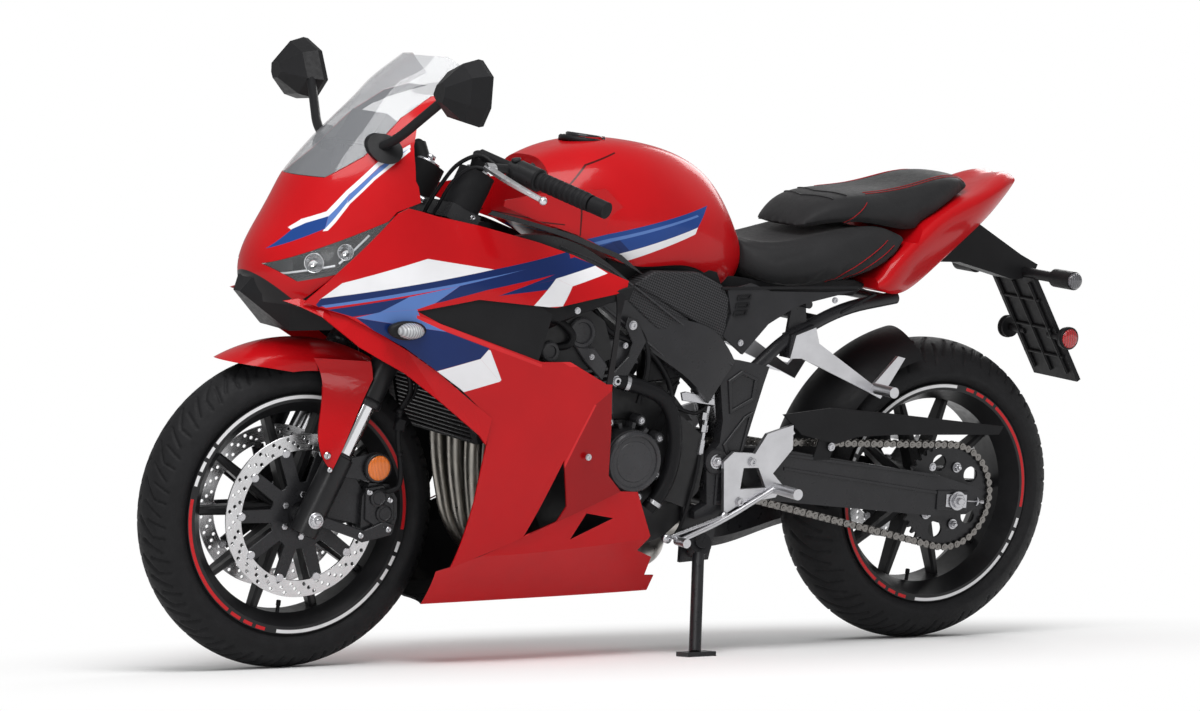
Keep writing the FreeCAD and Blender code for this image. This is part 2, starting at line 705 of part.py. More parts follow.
def front_calipers():
    for side, word in ((-1, "left"), (1, "right")):
        middle = size("front_disc_side")
        inner = middle - size("disc_play") - 10
        outer = size("fork_half_gap") + 6
        rows = [(118, 258), (172, 268), (180, 300), (178, 335), (160, 362), (118, 366),
                (104, 340), (104, 280)]
        body = side_slab("caliper_body_" + word, rows, inner if side > 0 else -outer,
                         "%f" % (outer - inner))
        slot = rod("caliper_slot_" + word, "front_disc_radius + 5",
                   "disc_thickness + 2 * disc_play",
                   FRONT_AXLE + ACROSS * (side * middle - size("disc_thickness") / 2
                                          - size("disc_play")), ACROSS)
        foot = side_slab("caliper_foot_" + word, [(20, 345), (60, 420), (110, 350), (110, 285),
                                                  (40, 300)],
                         (middle + 13) if side > 0 else -(middle + 33), "20")
        solid = fuse("caliper_solid_" + word, body, foot)
        leg_bore = rod("caliper_leg_" + word, "fork_bottom_radius", "400",
                       leg(-100, side * size("fork_half_gap")), UP_FORK)
        finished("front_caliper_" + word, cut("front_caliper_" + word, solid, slot, leg_bore))


# Frame, engine and running gear
def box_section(centre, half_across, half_up, along):
    run = Vector(along.x, along.y, along.z).normalize()
    flat = ACROSS if abs(run.z) > 0.999 else run.cross(UP).normalize()
    lift = flat.cross(run)
    corners = [centre + flat * (a * half_across) + lift * (b * half_up)
               for a, b in ((-1, -1), (1, -1), (1, 1), (-1, 1))]
    return Part.makePolygon(corners + [corners[0]])


def main_frame():
    low = size("lower_yoke_along") + size("yoke_thickness") + size("stem_fit")
    high = size(UPPER_YOKE) - size("stem_fit")
    head = rod("head_tube", "head_tube_radius", "head_length - 2 * stem_fit", stem(low), UP_FORK)
    middle = stem((low + high) / 2)
    t = size("spar_thickness") / 2
    pieces = [head]
    for side in (-1, 1):
        places = [(middle + Vector(8, side * 18, -6), 24, 38),
                  (middle + Vector(64, side * 56, -22), 20, 40),
                  (spot(425, side * 124, 796), t, 46),
                  (spot(560, side * 150, 754), t, 40),
                  (spot(720, side * 153, 650), t, 44),
                  (spot(850, side * 150, 560), t, 50)]
        sections = []
        for i, (place, across, up) in enumerate(places):
            before = places[max(i - 1, 0)][0]
            after = places[min(i + 1, len(places) - 1)][0]
            sections.append(box_section(place, across, up, after - before))
        pieces.append(loft("spar_%d" % side, sections))
        rows = [(805, 581), (862, 606), (909, 600), (963, 590), (952, 556), (929, 477),
                (914, 423), (909, 377), (890, 314), (876, 302), (811, 289), (810, 304),
                (837, 318), (830, 406), (858, 439), (862, 484), (851, 554), (819, 575)]
        start = size("pivot_plate_side")
        if side < 0:
            start = -start - size("pivot_plate_thickness")
        pieces.append(side_slab("pivot_plate_%d" % side, rows, start, "pivot_plate_thickness"))
    half = size("pivot_plate_side") + 6
    for word, x, z, radius in (("top", 905, 570, "20"), ("bottom", 868, 318, "16")):
        pieces.append(rod("frame_cross_" + word, radius, "2 * (pivot_plate_side + 6)",
                          spot(x, -half, z), ACROSS))
    # A cross tube and its post carry the tank
    pieces.append(rod("tank_cross", "10", "296", spot(672, -148, 706), ACROSS))
    pieces.append(rod("tank_post", "9", "78.7", spot(672, 0, 706), UP))
    pieces.append(rod("swingarm_pivot", "pivot_radius", "2 * pivot_reach",
                      spot(size("pivot_back"), -size("pivot_reach"), size("pivot_high")), ACROSS))
    pieces += stand_bracket()
    pieces += nose_stay(middle)
    pieces += seat_rails()
    solid = fuse("frame_solid", *pieces)
    bore = rod("head_bore", "stem_radius + stem_fit", "400", stem(low - 100), UP_FORK)
    finished("main_frame", cut("main_frame", solid, bore))


def nose_stay(middle):
    # A stay reaches forward between the fork legs and spreads to the nose and the dash
    forward = Vector(-UP_FORK.z, 0, UP_FORK.x)
    arm = loft("stay_arm", [box_section(middle + forward * 25, 26, 16, forward),
                            box_section(middle + forward * 235, 22, 12, forward)])
    end = middle + forward * 222
    post = loft("stay_post", [box_section(end, 40, 9, UP),
                              box_section(spot(96, 0, 992), 60, 6, UP)])
    beam = block("stay_beam", "12", "300", "20", spot(96, 0, 986))
    inside = nose_inside("stay_room", size("panel") + 0.4)
    return [arm, post, common("stay_beam_fitted", beam, inside)]


def seat_rails():
    pieces = []
    for side in (-1, 1):
        low = [spot(935, side * 148, 585), spot(1010, side * 135, 640), spot(1160, side * 112, 702),
               spot(1300, side * 95, 722)]
        pieces.append(tube("seat_rail_%d" % side, low, "hanger_radius"))
        # A lug carries the passenger's step, and a peg holds the side cover
        lug = [(1012, 606), (1016, 652), (1070, 672), (1076, 640), (1040, 606)]
        pieces.append(side_slab("step_lug_%d" % side, lug, 118 if side > 0 else -151.7, "33.7"))
        web = [(1020, 645), (1030, 724), (1060, 724), (1066, 665)]
        pieces.append(side_slab("cover_web_%d" % side, web, 120 if side > 0 else -128, "8"))
        pieces.append(rod("cover_peg_%d" % side, "8", "41.7", spot(1045, side * 122, 714),
                          ACROSS * side))
    pieces.append(rod("seat_cross_front", "10", "230", spot(1100, -115, 678), ACROSS))
    pieces.append(rod("seat_cross_rear", "10", "200", spot(1280, -100, 719), ACROSS))
    return pieces


def engine():
    half = size("crank_half_width")
    rows = [(470, 300), (500, 232), (640, 215), (760, 250), (822, 300), (812, 480),
            (742, 556), (610, 560), (500, 480), (462, 400)]
    case = side_slab("crankcase_middle", rows, -half, "2 * crank_half_width")
    notch = side_slab("chain_room", [(735, 480), (735, 330), (860, 330), (860, 480)],
                      -half - 5, "%f" % (half + 5 - 96))
    sump = side_slab("sump", [(520, 232), (540, 194), (690, 194), (720, 232)], -80, "160")
    clutch = rod("clutch_cover", "82", "58", spot(690, half - 1, 395), ACROSS)
    shaft = rod("drive_shaft", "12", "40", spot(790, -130, 400), ACROSS)
    middle = spot(790, -size("chain_side") - size("sprocket_thickness") / 2, 400)
    small = slab("drive_sprocket", tooth_outline(middle, size("drive_teeth")), ACROSS,
                 "sprocket_thickness")
    cover = rod("generator_drum", "generator_radius", "generator_side - crank_half_width",
                spot(638, -size("generator_side"), 411), ACROSS)
    rim_ring = rod("generator_flange", "generator_radius + 12", "14",
                   spot(638, -size("crank_half_width") - 14, 411), ACROSS)
    rows = [(800 - 88, 380), (713, 449), (742, 500), (770, 492), (820, 452), (824, 400),
            (816, 345), (785, 313), (735, 330)]
    outer_cover = side_slab("sprocket_cover", rows, -160, "34")
    finished("crankcase", fuse("crankcase", cut("crankcase_open", case, notch), sump,
                               clutch, shaft, small, cover, rim_ring, outer_cover))

    wide = size("head_half_width")
    barrel = side_slab("cylinder_block", [(500, 481), (610, 561), (665, 561), (600, 610),
                                          (470, 560), (463, 470)], -150, "300")
    head = side_slab("cylinder_head_block", [(470, 560), (600, 610), (575, 680), (540, 702),
                                             (440, 660), (428, 632)], -wide,
                     "2 * head_half_width")
    finished("cylinder_head", fuse("cylinder_head", barrel, head))


def radiator_and_exhaust():
    core = block("radiator_core", "radiator_depth", "2 * radiator_half_width",
                 "radiator_height", spot(306, 0, 545), -13)
    tanks = [block("radiator_tank_%d" % side, "radiator_depth + 14", "24",
                   "radiator_height - 10", spot(306, side * (size("radiator_half_width") + 10), 545),
                   -13) for side in (-1, 1)]
    arms = [rod("radiator_arm_%d" % side, "8", "%f" % (142 * STRETCH - 0.4),
                spot(286, side * 150, 625), BACK) for side in (-1, 1)]
    finished("radiator", fuse("radiator", core, *tanks, *arms))

    pipes = []
    gap = size("header_gap")
    for i in range(4):
        y = (i - 1.5) * gap
        route = [spot(448.6, y, 595.8), spot(402, y, 568.6), spot(374, y * 0.98, 500),
                 spot(376, y * 0.9, 380), spot(400, y * 0.75, 250), spot(470, y * 0.6, 182),
                 spot(640, y * 0.45, 167)]
        pipes.append(tube("header_%d" % i, route, "header_radius"))
    collector = loft("exhaust_collector", [
        rounded_box(spot(600, 0, 168), 70, 20),
        rounded_box(spot(700, 10, 168), 60, 21),
        rounded_box(spot(800, 40, 176), 36, 30)])
    link = tube("exhaust_link", [spot(790, 40, 176), spot(850, 62, 190), spot(905, 138, 226),
                                  spot(961.6, 138, 226)], "27")
    finished("exhaust_pipes", fuse("exhaust_pipes", *pipes, collector, link))

    finished("muffler", loft("muffler", [
        rounded_box(spot(962, 138, 226), 30, 34),
        rounded_box(spot(1000, 148, 235), 46, 54),
        rounded_box(spot(1150, 168, 250), 46, 50),
        rounded_box(spot(1240, 176, 262), 40, 42)]))


def rounded_box(centre, half_y, half_z, cut_share=0.45):
    a = min(half_y, half_z) * cut_share
    rows = [(-half_y + a, -half_z), (half_y - a, -half_z), (half_y, -half_z + a),
            (half_y, half_z - a), (half_y - a, half_z), (-half_y + a, half_z),
            (-half_y, half_z - a), (-half_y, -half_z + a)]
    points = [centre + Vector(0, y, z) for y, z in rows]
    return Part.makePolygon(points + [points[0]])


def swingarm():
    y = size("arm_side")
    t = size("arm_thickness")
    pieces = []
    ax, az = REAR_AXLE.x / STRETCH, REAR_AXLE.z
    for side in (-1, 1):
        rows = [(920, 372), (920, 428), (1000, 425), (1060, 415), (1412, az + 46),
                (ax + 62, az + 18), (ax + 66, az - 14), (ax + 30, az - 34), (1405, az - 36),
                (1010, 318), (940, 330)]
        start = side * y - t / 2
        pieces.append(side_slab("arm_%d" % side, rows, start, "arm_thickness"))
    cross = side_slab("arm_cross", [(925, 345), (925, 412), (1060, 405), (1075, 380),
                                    (1060, 345)], -y, "2 * arm_side")
    nose = []
    px, pz = size("pivot_back"), size("pivot_high")
    nose.append(side_slab("arm_nose", [(px - 20, pz - 16), (px - 20, pz + 12), (px, pz + 24),
                                       (940, 412), (940, 345), (px, pz - 26)], -92, "184"))
    solid = fuse("swingarm_solid", *pieces, cross, *nose)
    bore = rod("arm_axle_bore", "axle_radius", "400", REAR_AXLE - ACROSS * 200, ACROSS)
    pivot = rod("arm_pivot_bore", "pivot_radius", "400", spot(px, -200, pz), ACROSS)
    finished("swingarm", cut("swingarm", solid, bore, pivot))

    half = y + t / 2 + 14
    bar = rod("rear_axle_bar", "axle_radius", "2 * (arm_side + arm_thickness / 2 + 14)",
              REAR_AXLE - ACROSS * half, ACROSS)
    left = rod("rear_collar_left", "axle_radius + 6",
               "arm_side - arm_thickness / 2 - rear_hub_left - axle_fit",
               REAR_AXLE - ACROSS * (y - t / 2), ACROSS)
    right = rod("rear_collar_right", "axle_radius + 6",
                "arm_side - arm_thickness / 2 - axle_fit - (%s)" % REAR_HUB,
                REAR_AXLE + ACROSS * (y - t / 2), ACROSS * -1)
    finished("rear_axle", fuse("rear_axle", bar, left, right))

    low, top = spot(960, 0, 421), spot(905, 0, 570)
    run = (top - low).normalize()
    spring = rod("shock_spring", "32", "96", low + run * 18, run)
    shaft = rod("shock_shaft", "12", "%f" % ((top - low).Length - 20.4), low, run)
    finished("shock", fuse("shock", spring, shaft))

    rows = [(1009, 493), (1122, 505), (1247, 495), (1556, 463), (1545, 446), (1358, 448),
            (1282, 449), (1191, 446), (1141, 432), (1057, 452)]
    guard = side_slab("guard_side", rows, -153, "4")
    foot = side_slab("guard_foot", [(1090, 400), (1110, 480), (1150, 480), (1130, 400)], -150, "3")
    finished("chain_guard", fuse("chain_guard", guard, foot))

    rows = [(1352, 398), (1400, 372), (1440, 400), (1425, 455), (1385, 470), (1350, 440)]
    body = side_slab("rear_caliper_body", rows, 78, "44")
    hanger = side_slab("rear_caliper_hanger", [(1360, 400), (1400, 372), (1424, 300),
                                               (1440, 288), (1460, 288), (1476, 300), (1476, 330),
                                               (1440, 345), (1430, 420), (1400, 440)],
                       size("rear_disc_side") + size("disc_thickness") / 2 + size("disc_play") + 1,
                       "8")
    eye = rod("rear_caliper_eye", "axle_radius + 6", "60", REAR_AXLE + ACROSS * 85, ACROSS)
    slot = rod("rear_caliper_slot", "rear_disc_radius + 5", "disc_thickness + 2 * disc_play",
               REAR_AXLE + ACROSS * (size("rear_disc_side") - size("disc_thickness") / 2
                                     - size("disc_play")), ACROSS)
    finished("rear_caliper", cut("rear_caliper", fuse("rear_caliper_solid", body, hanger),
                                 slot, eye))


# Bodywork
def offset_points(points, wall):
    # Inner line of a band, square to the local run of the outer line, in x and y
    inner = []
    for i, p in enumerate(points):
        before = points[max(i - 1, 0)]
        after = points[min(i + 1, len(points) - 1)]
        run = (after[0] - before[0], after[1] - before[1])
        length = math.hypot(*run)
        inner.append((p[0] + run[1] / length * wall, p[1] - run[0] / length * wall))
    return inner


NOSE = [
    # Height, then the outer line from the middle to the rear edge as (x, y)
    (640, [(-80, 0), (-70, 52), (-24, 104), (58, 150), (150, 186)]),
    (700, [(-100, 0), (-88, 56), (-40, 112), (50, 160), (152, 197)]),
    (765, [(-113, 0), (-100, 60), (-48, 120), (50, 172), (156, 205)]),
    (850, [(-78, 0), (-66, 58), (-18, 115), (66, 165), (156, 194)]),
    (930, [(-37, 0), (-24, 57), (25, 110), (88, 146), (150, 172)]),
    (1010, [(28, 0), (40, 48), (76, 90), (112, 118), (152, 142)]),
    (1065, [(83, 0), (94, 42), (126, 78), (158, 100), (196, 124)]),
    (1106, [(122, 0), (132, 38), (162, 70), (212, 94), (312, 116)]),
    (1172, [(205, 0), (212, 30), (226, 54), (262, 74), (330, 88)]),
]


def nose_band(name, wall, low=0, high=None, outside=0.0):
    rows = []
    for z, half in NOSE[low:high]:
        line = [(x, -y) for x, y in reversed(half)] + [(x, y) for x, y in half[1:]]
        line = offset_points(line, -outside)
        inner = offset_points(line, wall)
        outer_points = [spot(x, y, z) for x, y in line]
        inner_points = [spot(x, y, z) for x, y in reversed(inner)]
        rows.append(path(outer_points[0], outer_points[1:], inner_points[0], inner_points[1:],
                         close=True))
    return loft(name, rows)


def nose_inside(name, wall):
    # The room within the nose, a wall's thickness in from its outside
    rows = []
    for z, half in NOSE:
        line = [(x, -y) for x, y in reversed(half)] + [(x, y) for x, y in half[1:]]
        inner = [spot(x, y, z) for x, y in offset_points(line, wall)]
        rows.append(path(inner[0], inner[1:], close=True))
    return loft(name, rows)


LAMP = [(-104, 772), (112, 874), (18, 768), (-58, 745)]
SCREEN = [(-60, 935), (60, 978), (150, 1062), (215, 1100), (340, 1178), (200, 1200), (-60, 960)]


def nose():
    wall = size("panel")
    shell = nose_band("nose_shell", wall)
    lamp_hole = lamp_prisms("lamp_hole", 0)
    edge = side_slab("nose_outline", [(-140, 770), (-112, 700), (-58, 700), (108, 882),
                                      (160, 905), (146, 940), (150, 1004), (164, 1046),
                                      (196, 1068), (280, 1080), (314, 1104), (262, 1108),
                                      (206, 1094), (142, 1052), (66, 978),
                                      (0, 936), (-60, 936)], -260, "520")
    finished("upper_cowl", cut("upper_cowl", common("nose_trimmed", shell, edge), *lamp_hole))

    glass = nose_band("screen_shell", wall * 0.9, low=3)
    edge = side_slab("screen_outline", [(-60, 937), (0, 937), (66, 979.5), (142, 1053.5),
                                        (206, 1095.5), (262, 1109.5), (300, 1130),
                                        (250, 1168), (180, 1168), (-60, 1000)], -260, "520")
    finished("windscreen", common("windscreen", glass, edge))

    thick = nose_band("lamp_band", 34)
    lamps = common("lamps", thick, fuse("lamp_prisms", *lamp_prisms("lamp", 1.0)))
    bridge = block("lamp_bridge", "40", "190", "30", spot(-30, 0, 772))
    finished("headlight", fuse("headlight", lamps, bridge))


def lamp_prisms(name, gap):
    # The lamp outline in side view, kept off the middle of the nose
    cx = sum(p[0] for p in LAMP) / 4
    cz = sum(p[1] for p in LAMP) / 4
    rows = []
    for x, z in LAMP:
        d = math.hypot(x - cx, z - cz)
        rows.append((x - (x - cx) / d * gap, z - (z - cz) / d * gap))
    length = "%f" % (210 - gap)
    return [side_slab(name + "_left", rows, -240, length),
            side_slab(name + "_right", rows, 30 + gap, length)]


FLANK = [
    # Station behind the front axle, then the outer line from top to bottom as (y, z)
    (-80, [(105, 890), (118, 815), (128, 740), (130, 660), (126, 560), (118, 400), (104, 240), (70, 130)]),
    (40, [(150, 905), (168, 830), (182, 745), (184, 660), (178, 560), (168, 400), (150, 240), (90, 130)]),
    (150, [(170, 912), (196, 840), (212, 755), (215, 680), (210, 560), (202, 400), (182, 235), (110, 130)]),
    (300, [(172, 890), (204, 835), (226, 755), (231, 690), (226, 560), (218, 400), (194, 235), (110, 132)]),
    (450, [(166, 850), (200, 806), (226, 745), (234, 680), (230, 560), (220, 400), (194, 240), (108, 134)]),
    (600, [(160, 812), (192, 778), (214, 728), (222, 660), (220, 560), (213, 410), (188, 250), (104, 136)]),
    (780, [(150, 775), (176, 748), (192, 704), (202, 640), (203, 540), (198, 400), (176, 262), (98, 140)]),
]


def flank_band(name, wall, inset=0.0):
    rows = []
    for x, line in FLANK:
        outer = [(-(y - inset), z) for y, z in line]
        inner = [(-(y - inset - wall), z) for y, z in line]
        a = [spot(x, y, z) for y, z in outer]
        b = [spot(x, y, z) for y, z in reversed(inner)]
        rows.append(path(a[0], a[1:], b[0], b[1:], close=True))
    return loft(name, rows)


DUCT = [(140, 703), (262, 727), (364, 718), (425, 713), (499, 727), (566, 738), (566, 700),
        (552, 566), (464, 610), (402, 610), (186, 681)]


def side_fairing():
    band = flank_band("flank_shell", size("panel"))
    gap = size("seam")
    edge = side_slab("flank_outline", [
        (-57, 710), (108 + gap, 880), (130, 890), (150, 886), (182, 878), (271, 862),
        (403, 832), (480, 809), (556, 778), (600, 762), (590, 740), (575, 700),
        (565, 560), (572, 478), (576, 388), (608, 356),
        (392, 268), (259, 213), (264, 240), (284, 342), (301, 458), (290, 513),
        (238, 558), (122, 635), (13, 690)], -260, "260")
    duct = side_slab("duct_hole", DUCT, -260, "260")
    window = side_slab("fairing_window", [(471, 421), (401, 274), (470, 301), (487, 330)],
                       -260, "260")
    left = cut("side_fairing_left", common("flank_trimmed", band, edge), duct, window)
    finished("side_fairing_left", left)
    right_hand("side_fairing_right", left)

    # A dark insert closes the front half of the air outlet, set back behind the skin
    back = flank_band("duct_shell", size("panel"), inset=size("panel") + 0.4)
    area = side_slab("duct_area", [(120, 690), (130, 718), (262, 742), (364, 732), (420, 700),
                                   (392, 598), (186, 665)], -260, "260")
    insert = common("fairing_duct_left", back, area)
    finished("fairing_duct_left", insert)
    right_hand("fairing_duct_right", insert)


def belly_pan():
    wall = size("panel")
    rows = []
    for x, line in FLANK[2:]:
        low = [(y, z) for y, z in line[4:]]
        half = [(y, z) for y, z in low] + [(0, low[-1][1] - 6)]
        outer = [(-y, z) for y, z in half] + [(y, z) for y, z in reversed(half[:-1])]
        inner = [(-(y - wall) if y else 0, z + (wall if i > 2 else 0))
                 for i, (y, z) in enumerate(half)]
        inner = inner + [(-y, z) for y, z in reversed(inner[:-1])]
        a = [spot(x, y, z) for y, z in outer]
        b = [spot(x, y, z) for y, z in reversed(inner)]
        steps = a[1:] + b
        rows.append(Part.makePolygon([a[0]] + steps + [a[0]]))
    band = loft("belly_shell", rows)
    edge = side_slab("belly_outline", [
        (193, 189), (201, 155), (227, 120), (750, 120), (750, 173), (727, 174), (723, 215),
        (680, 232), (698, 263), (652, 353), (608, 355), (392, 267), (259, 212)],
        -260, "520")
    window = side_slab("belly_window", [(539, 314), (603, 302), (510, 263)], -260, "520")
    # The front wheel swings in front of it, about the steering axis
    reach = size("front_radius") - (FRONT_AXLE - stem(0)).Length + 12
    room = rod("belly_wheel_room", "%f" % reach, "600", stem(-300), UP_FORK)
    finished("belly_pan", cut("belly_pan", common("belly_trimmed", band, edge), window, room))


def full_section(x, half, floor=None):
    # A closed section across the machine: a curve over the top and a flat floor
    line = [(-y, z) for y, z in reversed(half)] + [(y, z) for y, z in half[1:]]
    points = [spot(x, y, z) for y, z in line]
    return path(points[0], points[1:], close=True)


def tank_and_seats():
    body = loft("tank_body", [
        full_section(470, [(0, 985), (60, 978), (100, 948), (118, 905), (122, 868), (116, 852)]),
        full_section(540, [(0, 1010), (70, 1002), (120, 962), (150, 905), (156, 860), (148, 828)]),
        full_section(640, [(0, 1022), (75, 1013), (130, 972), (165, 900), (170, 836), (155, 786)]),
        full_section(740, [(0, 1011), (72, 1001), (122, 955), (156, 888), (160, 830), (148, 788)]),
        full_section(840, [(0, 972), (60, 962), (98, 925), (126, 865), (130, 800), (118, 760)]),
        full_section(922, [(0, 872), (40, 866), (66, 850), (84, 822), (88, 795), (80, 772)])])
    wings = []
    for side in (-1, 1):
        rows = [(338, 896), (340, 908), (430, 924), (560, 934), (600, 900), (600, 800),
                (544, 826), (502, 845), (411, 871)]
        start = 160 if side > 0 else -163
        wings.append(side_slab("tank_wing_%d" % side, rows, start, "3"))
        wings.append(block("tank_web_%d" % side, "40", "30", "40", spot(570, side * 148, 880)))
    cap = rod("fuel_cap", "38", "8", spot(600, 0, 1016), UP)
    finished("fuel_tank", fuse("fuel_tank", body, cap, *wings))

    gap = size("seat_gap")
    finished("seat_front", loft("seat_front", [
        full_section(922 + gap, [(0, 846), (55, 845), (84, 836), (96, 815), (92, 778)]),
        full_section(1000, [(0, 826), (80, 829), (124, 826), (142, 800), (134, 748)]),
        full_section(1060, [(0, 836), (88, 839), (136, 834), (152, 802), (144, 750)]),
        full_section(1180, [(0, 856), (94, 862), (138, 860), (154, 832), (150, 772)]),
        full_section(1285, [(0, 858), (86, 860), (126, 859), (140, 852), (138, 842)])]))

    # The passenger's seat lies on the tail along this line
    line = [(1040, 838), (1306, 838), (1336, 878), (1479, 950)]
    above = [(1479, 1100), (1040, 1100)]
    below = [(1479, 700), (1040, 700)]
    tray = side_slab("seat_tray", line + above, -200, "400")
    base = side_slab("seat_base", [(x, z + gap) for x, z in line] + below, -200, "400")
    pad = loft("pillion_pad", [
        full_section(1064, [(0, 866), (50, 865), (74, 863), (84, 860), (82, 854)]),
        full_section(1100, [(0, 908), (60, 905), (90, 896), (104, 880), (102, 866)]),
        full_section(1200, [(0, 932), (80, 930), (116, 918), (128, 900), (122, 876)]),
        full_section(1320, [(0, 950), (84, 947), (116, 936), (126, 916), (118, 860)]),
        full_section(1475, [(0, 966), (60, 964), (80, 959), (88, 953), (82, 936)])])
    finished("seat_rear", cut("seat_rear", pad, base))

    shell = loft("tail_shell", [
        full_section(1215, [(0, 764), (118, 764), (150, 760), (154, 752), (146, 744)]),
        full_section(1292, [(0, 838), (118, 838), (150, 834), (152, 784), (128, 736)]),
        full_section(1340, [(0, 878), (118, 878), (140, 872), (142, 822), (108, 752)]),
        full_section(1440, [(0, 926), (100, 926), (124, 918), (124, 880), (86, 818)]),
        full_section(1540, [(0, 962), (80, 961), (98, 950), (94, 925), (58, 884)]),
        full_section(1606, [(0, 974), (50, 972), (60, 964), (54, 956), (34, 948)])])
    finished("tail_cowl", cut("tail_cowl", shell, tray))
    finished("tail_light", loft("tail_light", [
        full_section(1606 + gap, [(0, 972), (46, 970), (54, 964), (50, 958), (32, 950)]),
        full_section(1618, [(0, 969), (36, 968), (42, 964), (38, 960), (26, 954)])]))

    rows = [(846, 742), (902, 756), (947, 741), (1078, 740), (1151, 744), (1025, 716),
            (1000, 706), (946, 676), (890, 616), (842, 652), (858, 695)]
    cover = side_slab("side_cover_left", rows, -172, "8")
    finished("side_cover_left", cover)
    right_hand("side_cover_right", cover)


def rear_trim():
    r = size("rear_radius") + size("hugger_gap")
    w = size("rear_half_width") + 4

    def ring(extra):
        return [(-w - extra, r - 46), (-w * 0.7 - extra * 0.7, r - 14), (0, r + 10 + extra),
                (w * 0.7 + extra * 0.7, r - 14), (w + extra, r - 46)]

    turn = Rotation(ACROSS, -78)
    outer = [REAR_AXLE + turn.multVec(Vector(0, y, z)) for y, z in ring(size("panel"))]
    inner = [REAR_AXLE + turn.multVec(Vector(0, y, z)) for y, z in ring(0)]
    wire = path(outer[0], outer[1:], inner[-1], list(reversed(inner[:-1])), close=True)
    shell = spun("hugger_shell", wire, REAR_AXLE, angle=64.0)
    tabs = [rod("hugger_tab_%d" % side, "7", "arm_side - arm_thickness / 2 - 0.4 - %f" % (w - 4),
                spot(1164, side * (w - 4), 393), ACROSS * side) for side in (-1, 1)]
    finished("hugger", fuse("hugger", shell, *tabs))

    arm = side_slab("plate_arm", [(1440, 790), (1450, 824), (1530, 876.8), (1655, 808),
                                  (1702, 787), (1690, 760), (1641, 755), (1500, 790)],
                    -35, "70")
    carrier = block("plate_carrier", "10", "150", "256", Vector(1735 * STRETCH, 0, 655), -32)
    signals = []
    for side in (-1, 1):
        signals.append(rod("signal_stalk_%d" % side, "11", "110",
                           spot(1672, side * 30, 770), ACROSS * side))
        signals.append(rod("signal_body_%d" % side, "19", "62",
                           spot(1672, side * 138, 770), ACROSS * side))
        signals.append(rod("reflector_stalk_%d" % side, "22", "12",
                           spot(1742, side * 94, 640), ACROSS * side))
        signals.append(rod("reflector_arm_%d" % side, "8", "60",
                           spot(1742, side * 40, 640), ACROSS * side))
    finished("plate_holder", fuse("plate_holder", arm, carrier, *signals))



def front_trim():
    left = fuse("signal_front_left",
                rod("front_signal_stalk", "12", "30", spot(112, -210, 668), Vector(0, -1, 0)),
                rod("front_signal_body", "20", "26", spot(112, -228, 668), Vector(0.3, -1, 0)))
    finished("signal_front_left", left)
    right_hand("signal_front_right", left)

    stem_points = [spot(96, -123, 1000), spot(104, -170, 1020), spot(142, -282, 1106)]
    shank = tube("mirror_stem", stem_points, "9")
    # Its base lies on the skin of the nose
    around_nose = nose_band("mirror_base_band", 11.4, low=3, outside=12)
    pad = common("mirror_base", around_nose,
                 rod("mirror_base_oval", "27", "160", spot(98, -80, 996), Vector(0, -1, 0)))
    rows = [(-256, 1100), (-300, 1062), (-372, 1056), (-398, 1092), (-400, 1150),
            (-356, 1178), (-290, 1156)]
    cy = sum(p[0] for p in rows) / len(rows)
    cz = sum(p[1] for p in rows) / len(rows)
    sections = []
    for x, grow in ((92, 0.3), (128, 0.86), (158, 1.0), (168, 0.97)):
        ring = [spot(x, cy + (y - cy) * grow, cz + (z - cz) * grow) for y, z in rows]
        sections.append(Part.makePolygon(ring + [ring[0]]))
    shell = loft("mirror_shell", sections, ruled=True)
    left = fuse("mirror_left", shank, pad, shell)
    finished("mirror_left", left)
    right_hand("mirror_right", left)

    finished("dashboard", block("dashboard", "26", "140", "66", spot(122, 0, 1023), 32))


def controls():
    for side, word in ((-1, "left"), (1, "right")):
        start = -181 if side < 0 else 171
        rows = [(866, 300), (905, 322), (985, 332), (1000, 356), (975, 380), (1018, 428),
                (1016, 476), (956, 459), (930, 420), (880, 424), (858, 405)]
        plate = side_slab("step_plate_" + word, rows, start, "10")
        window = side_slab("step_window_" + word, [(900, 350), (960, 352), (940, 392),
                                                   (905, 392)], start - 5, "20")
        peg = rod("step_peg_" + word, "peg_radius", "peg_length",
                  spot(984, side * 176, 350), ACROSS * side)
        pieces = [cut("step_open_" + word, plate, window), peg]
        for i, (x, z) in enumerate(((894, 326), (880, 405))):
            pieces.append(rod("step_post_%s_%d" % (word, i), "12",
                              "171 - pivot_plate_side - pivot_plate_thickness + 5",
                              spot(x, side * (size("pivot_plate_side")
                                              + size("pivot_plate_thickness")), z),
                              ACROSS * side))
        if side < 0:
            pieces.append(tube("shift_lever", [spot(975, -188, 350), spot(860, -190, 290),
                                               spot(760, -196, 254)], "5"))
            pieces.append(rod("shift_toe", "9", "36", spot(756, -190, 253), Vector(0, -1, 0)))
        finished("rider_step_" + word, fuse("rider_step_" + word, *pieces))

        start = -160 if side < 0 else 152
        rows = [(1011, 606), (1022, 652), (1068, 668), (1078, 636), (1216, 552), (1272, 610), (1290, 606), (1236, 524),
                (1200, 540), (1040, 606)]
        plate = side_slab("pillion_plate_" + word, rows, start, "8")
        peg = rod("pillion_peg_" + word, "peg_radius", "peg_length - 15",
                  spot(1222, side * 156, 545), ACROSS * side)
        finished("pillion_step_" + word, fuse("pillion_step_" + word, plate, peg))


# The side stand swings from its foot on the floor back along the machine
TILT = math.radians(size("lean_deg"))
LIFT = size("rear_crown") * (1 - math.cos(TILT))
STAND_PIVOT = spot(822, -165, 240)
STAND_FOOT = spot(size("stand_foot_back"), -size("stand_foot_side"),
                  (size("stand_foot_side") * math.sin(TILT) - LIFT) / math.cos(TILT))
STAND_RUN = (STAND_FOOT - STAND_PIVOT).normalize()
STAND_PIN = STAND_RUN.cross(Vector(1, -0.1, -0.03)).normalize()


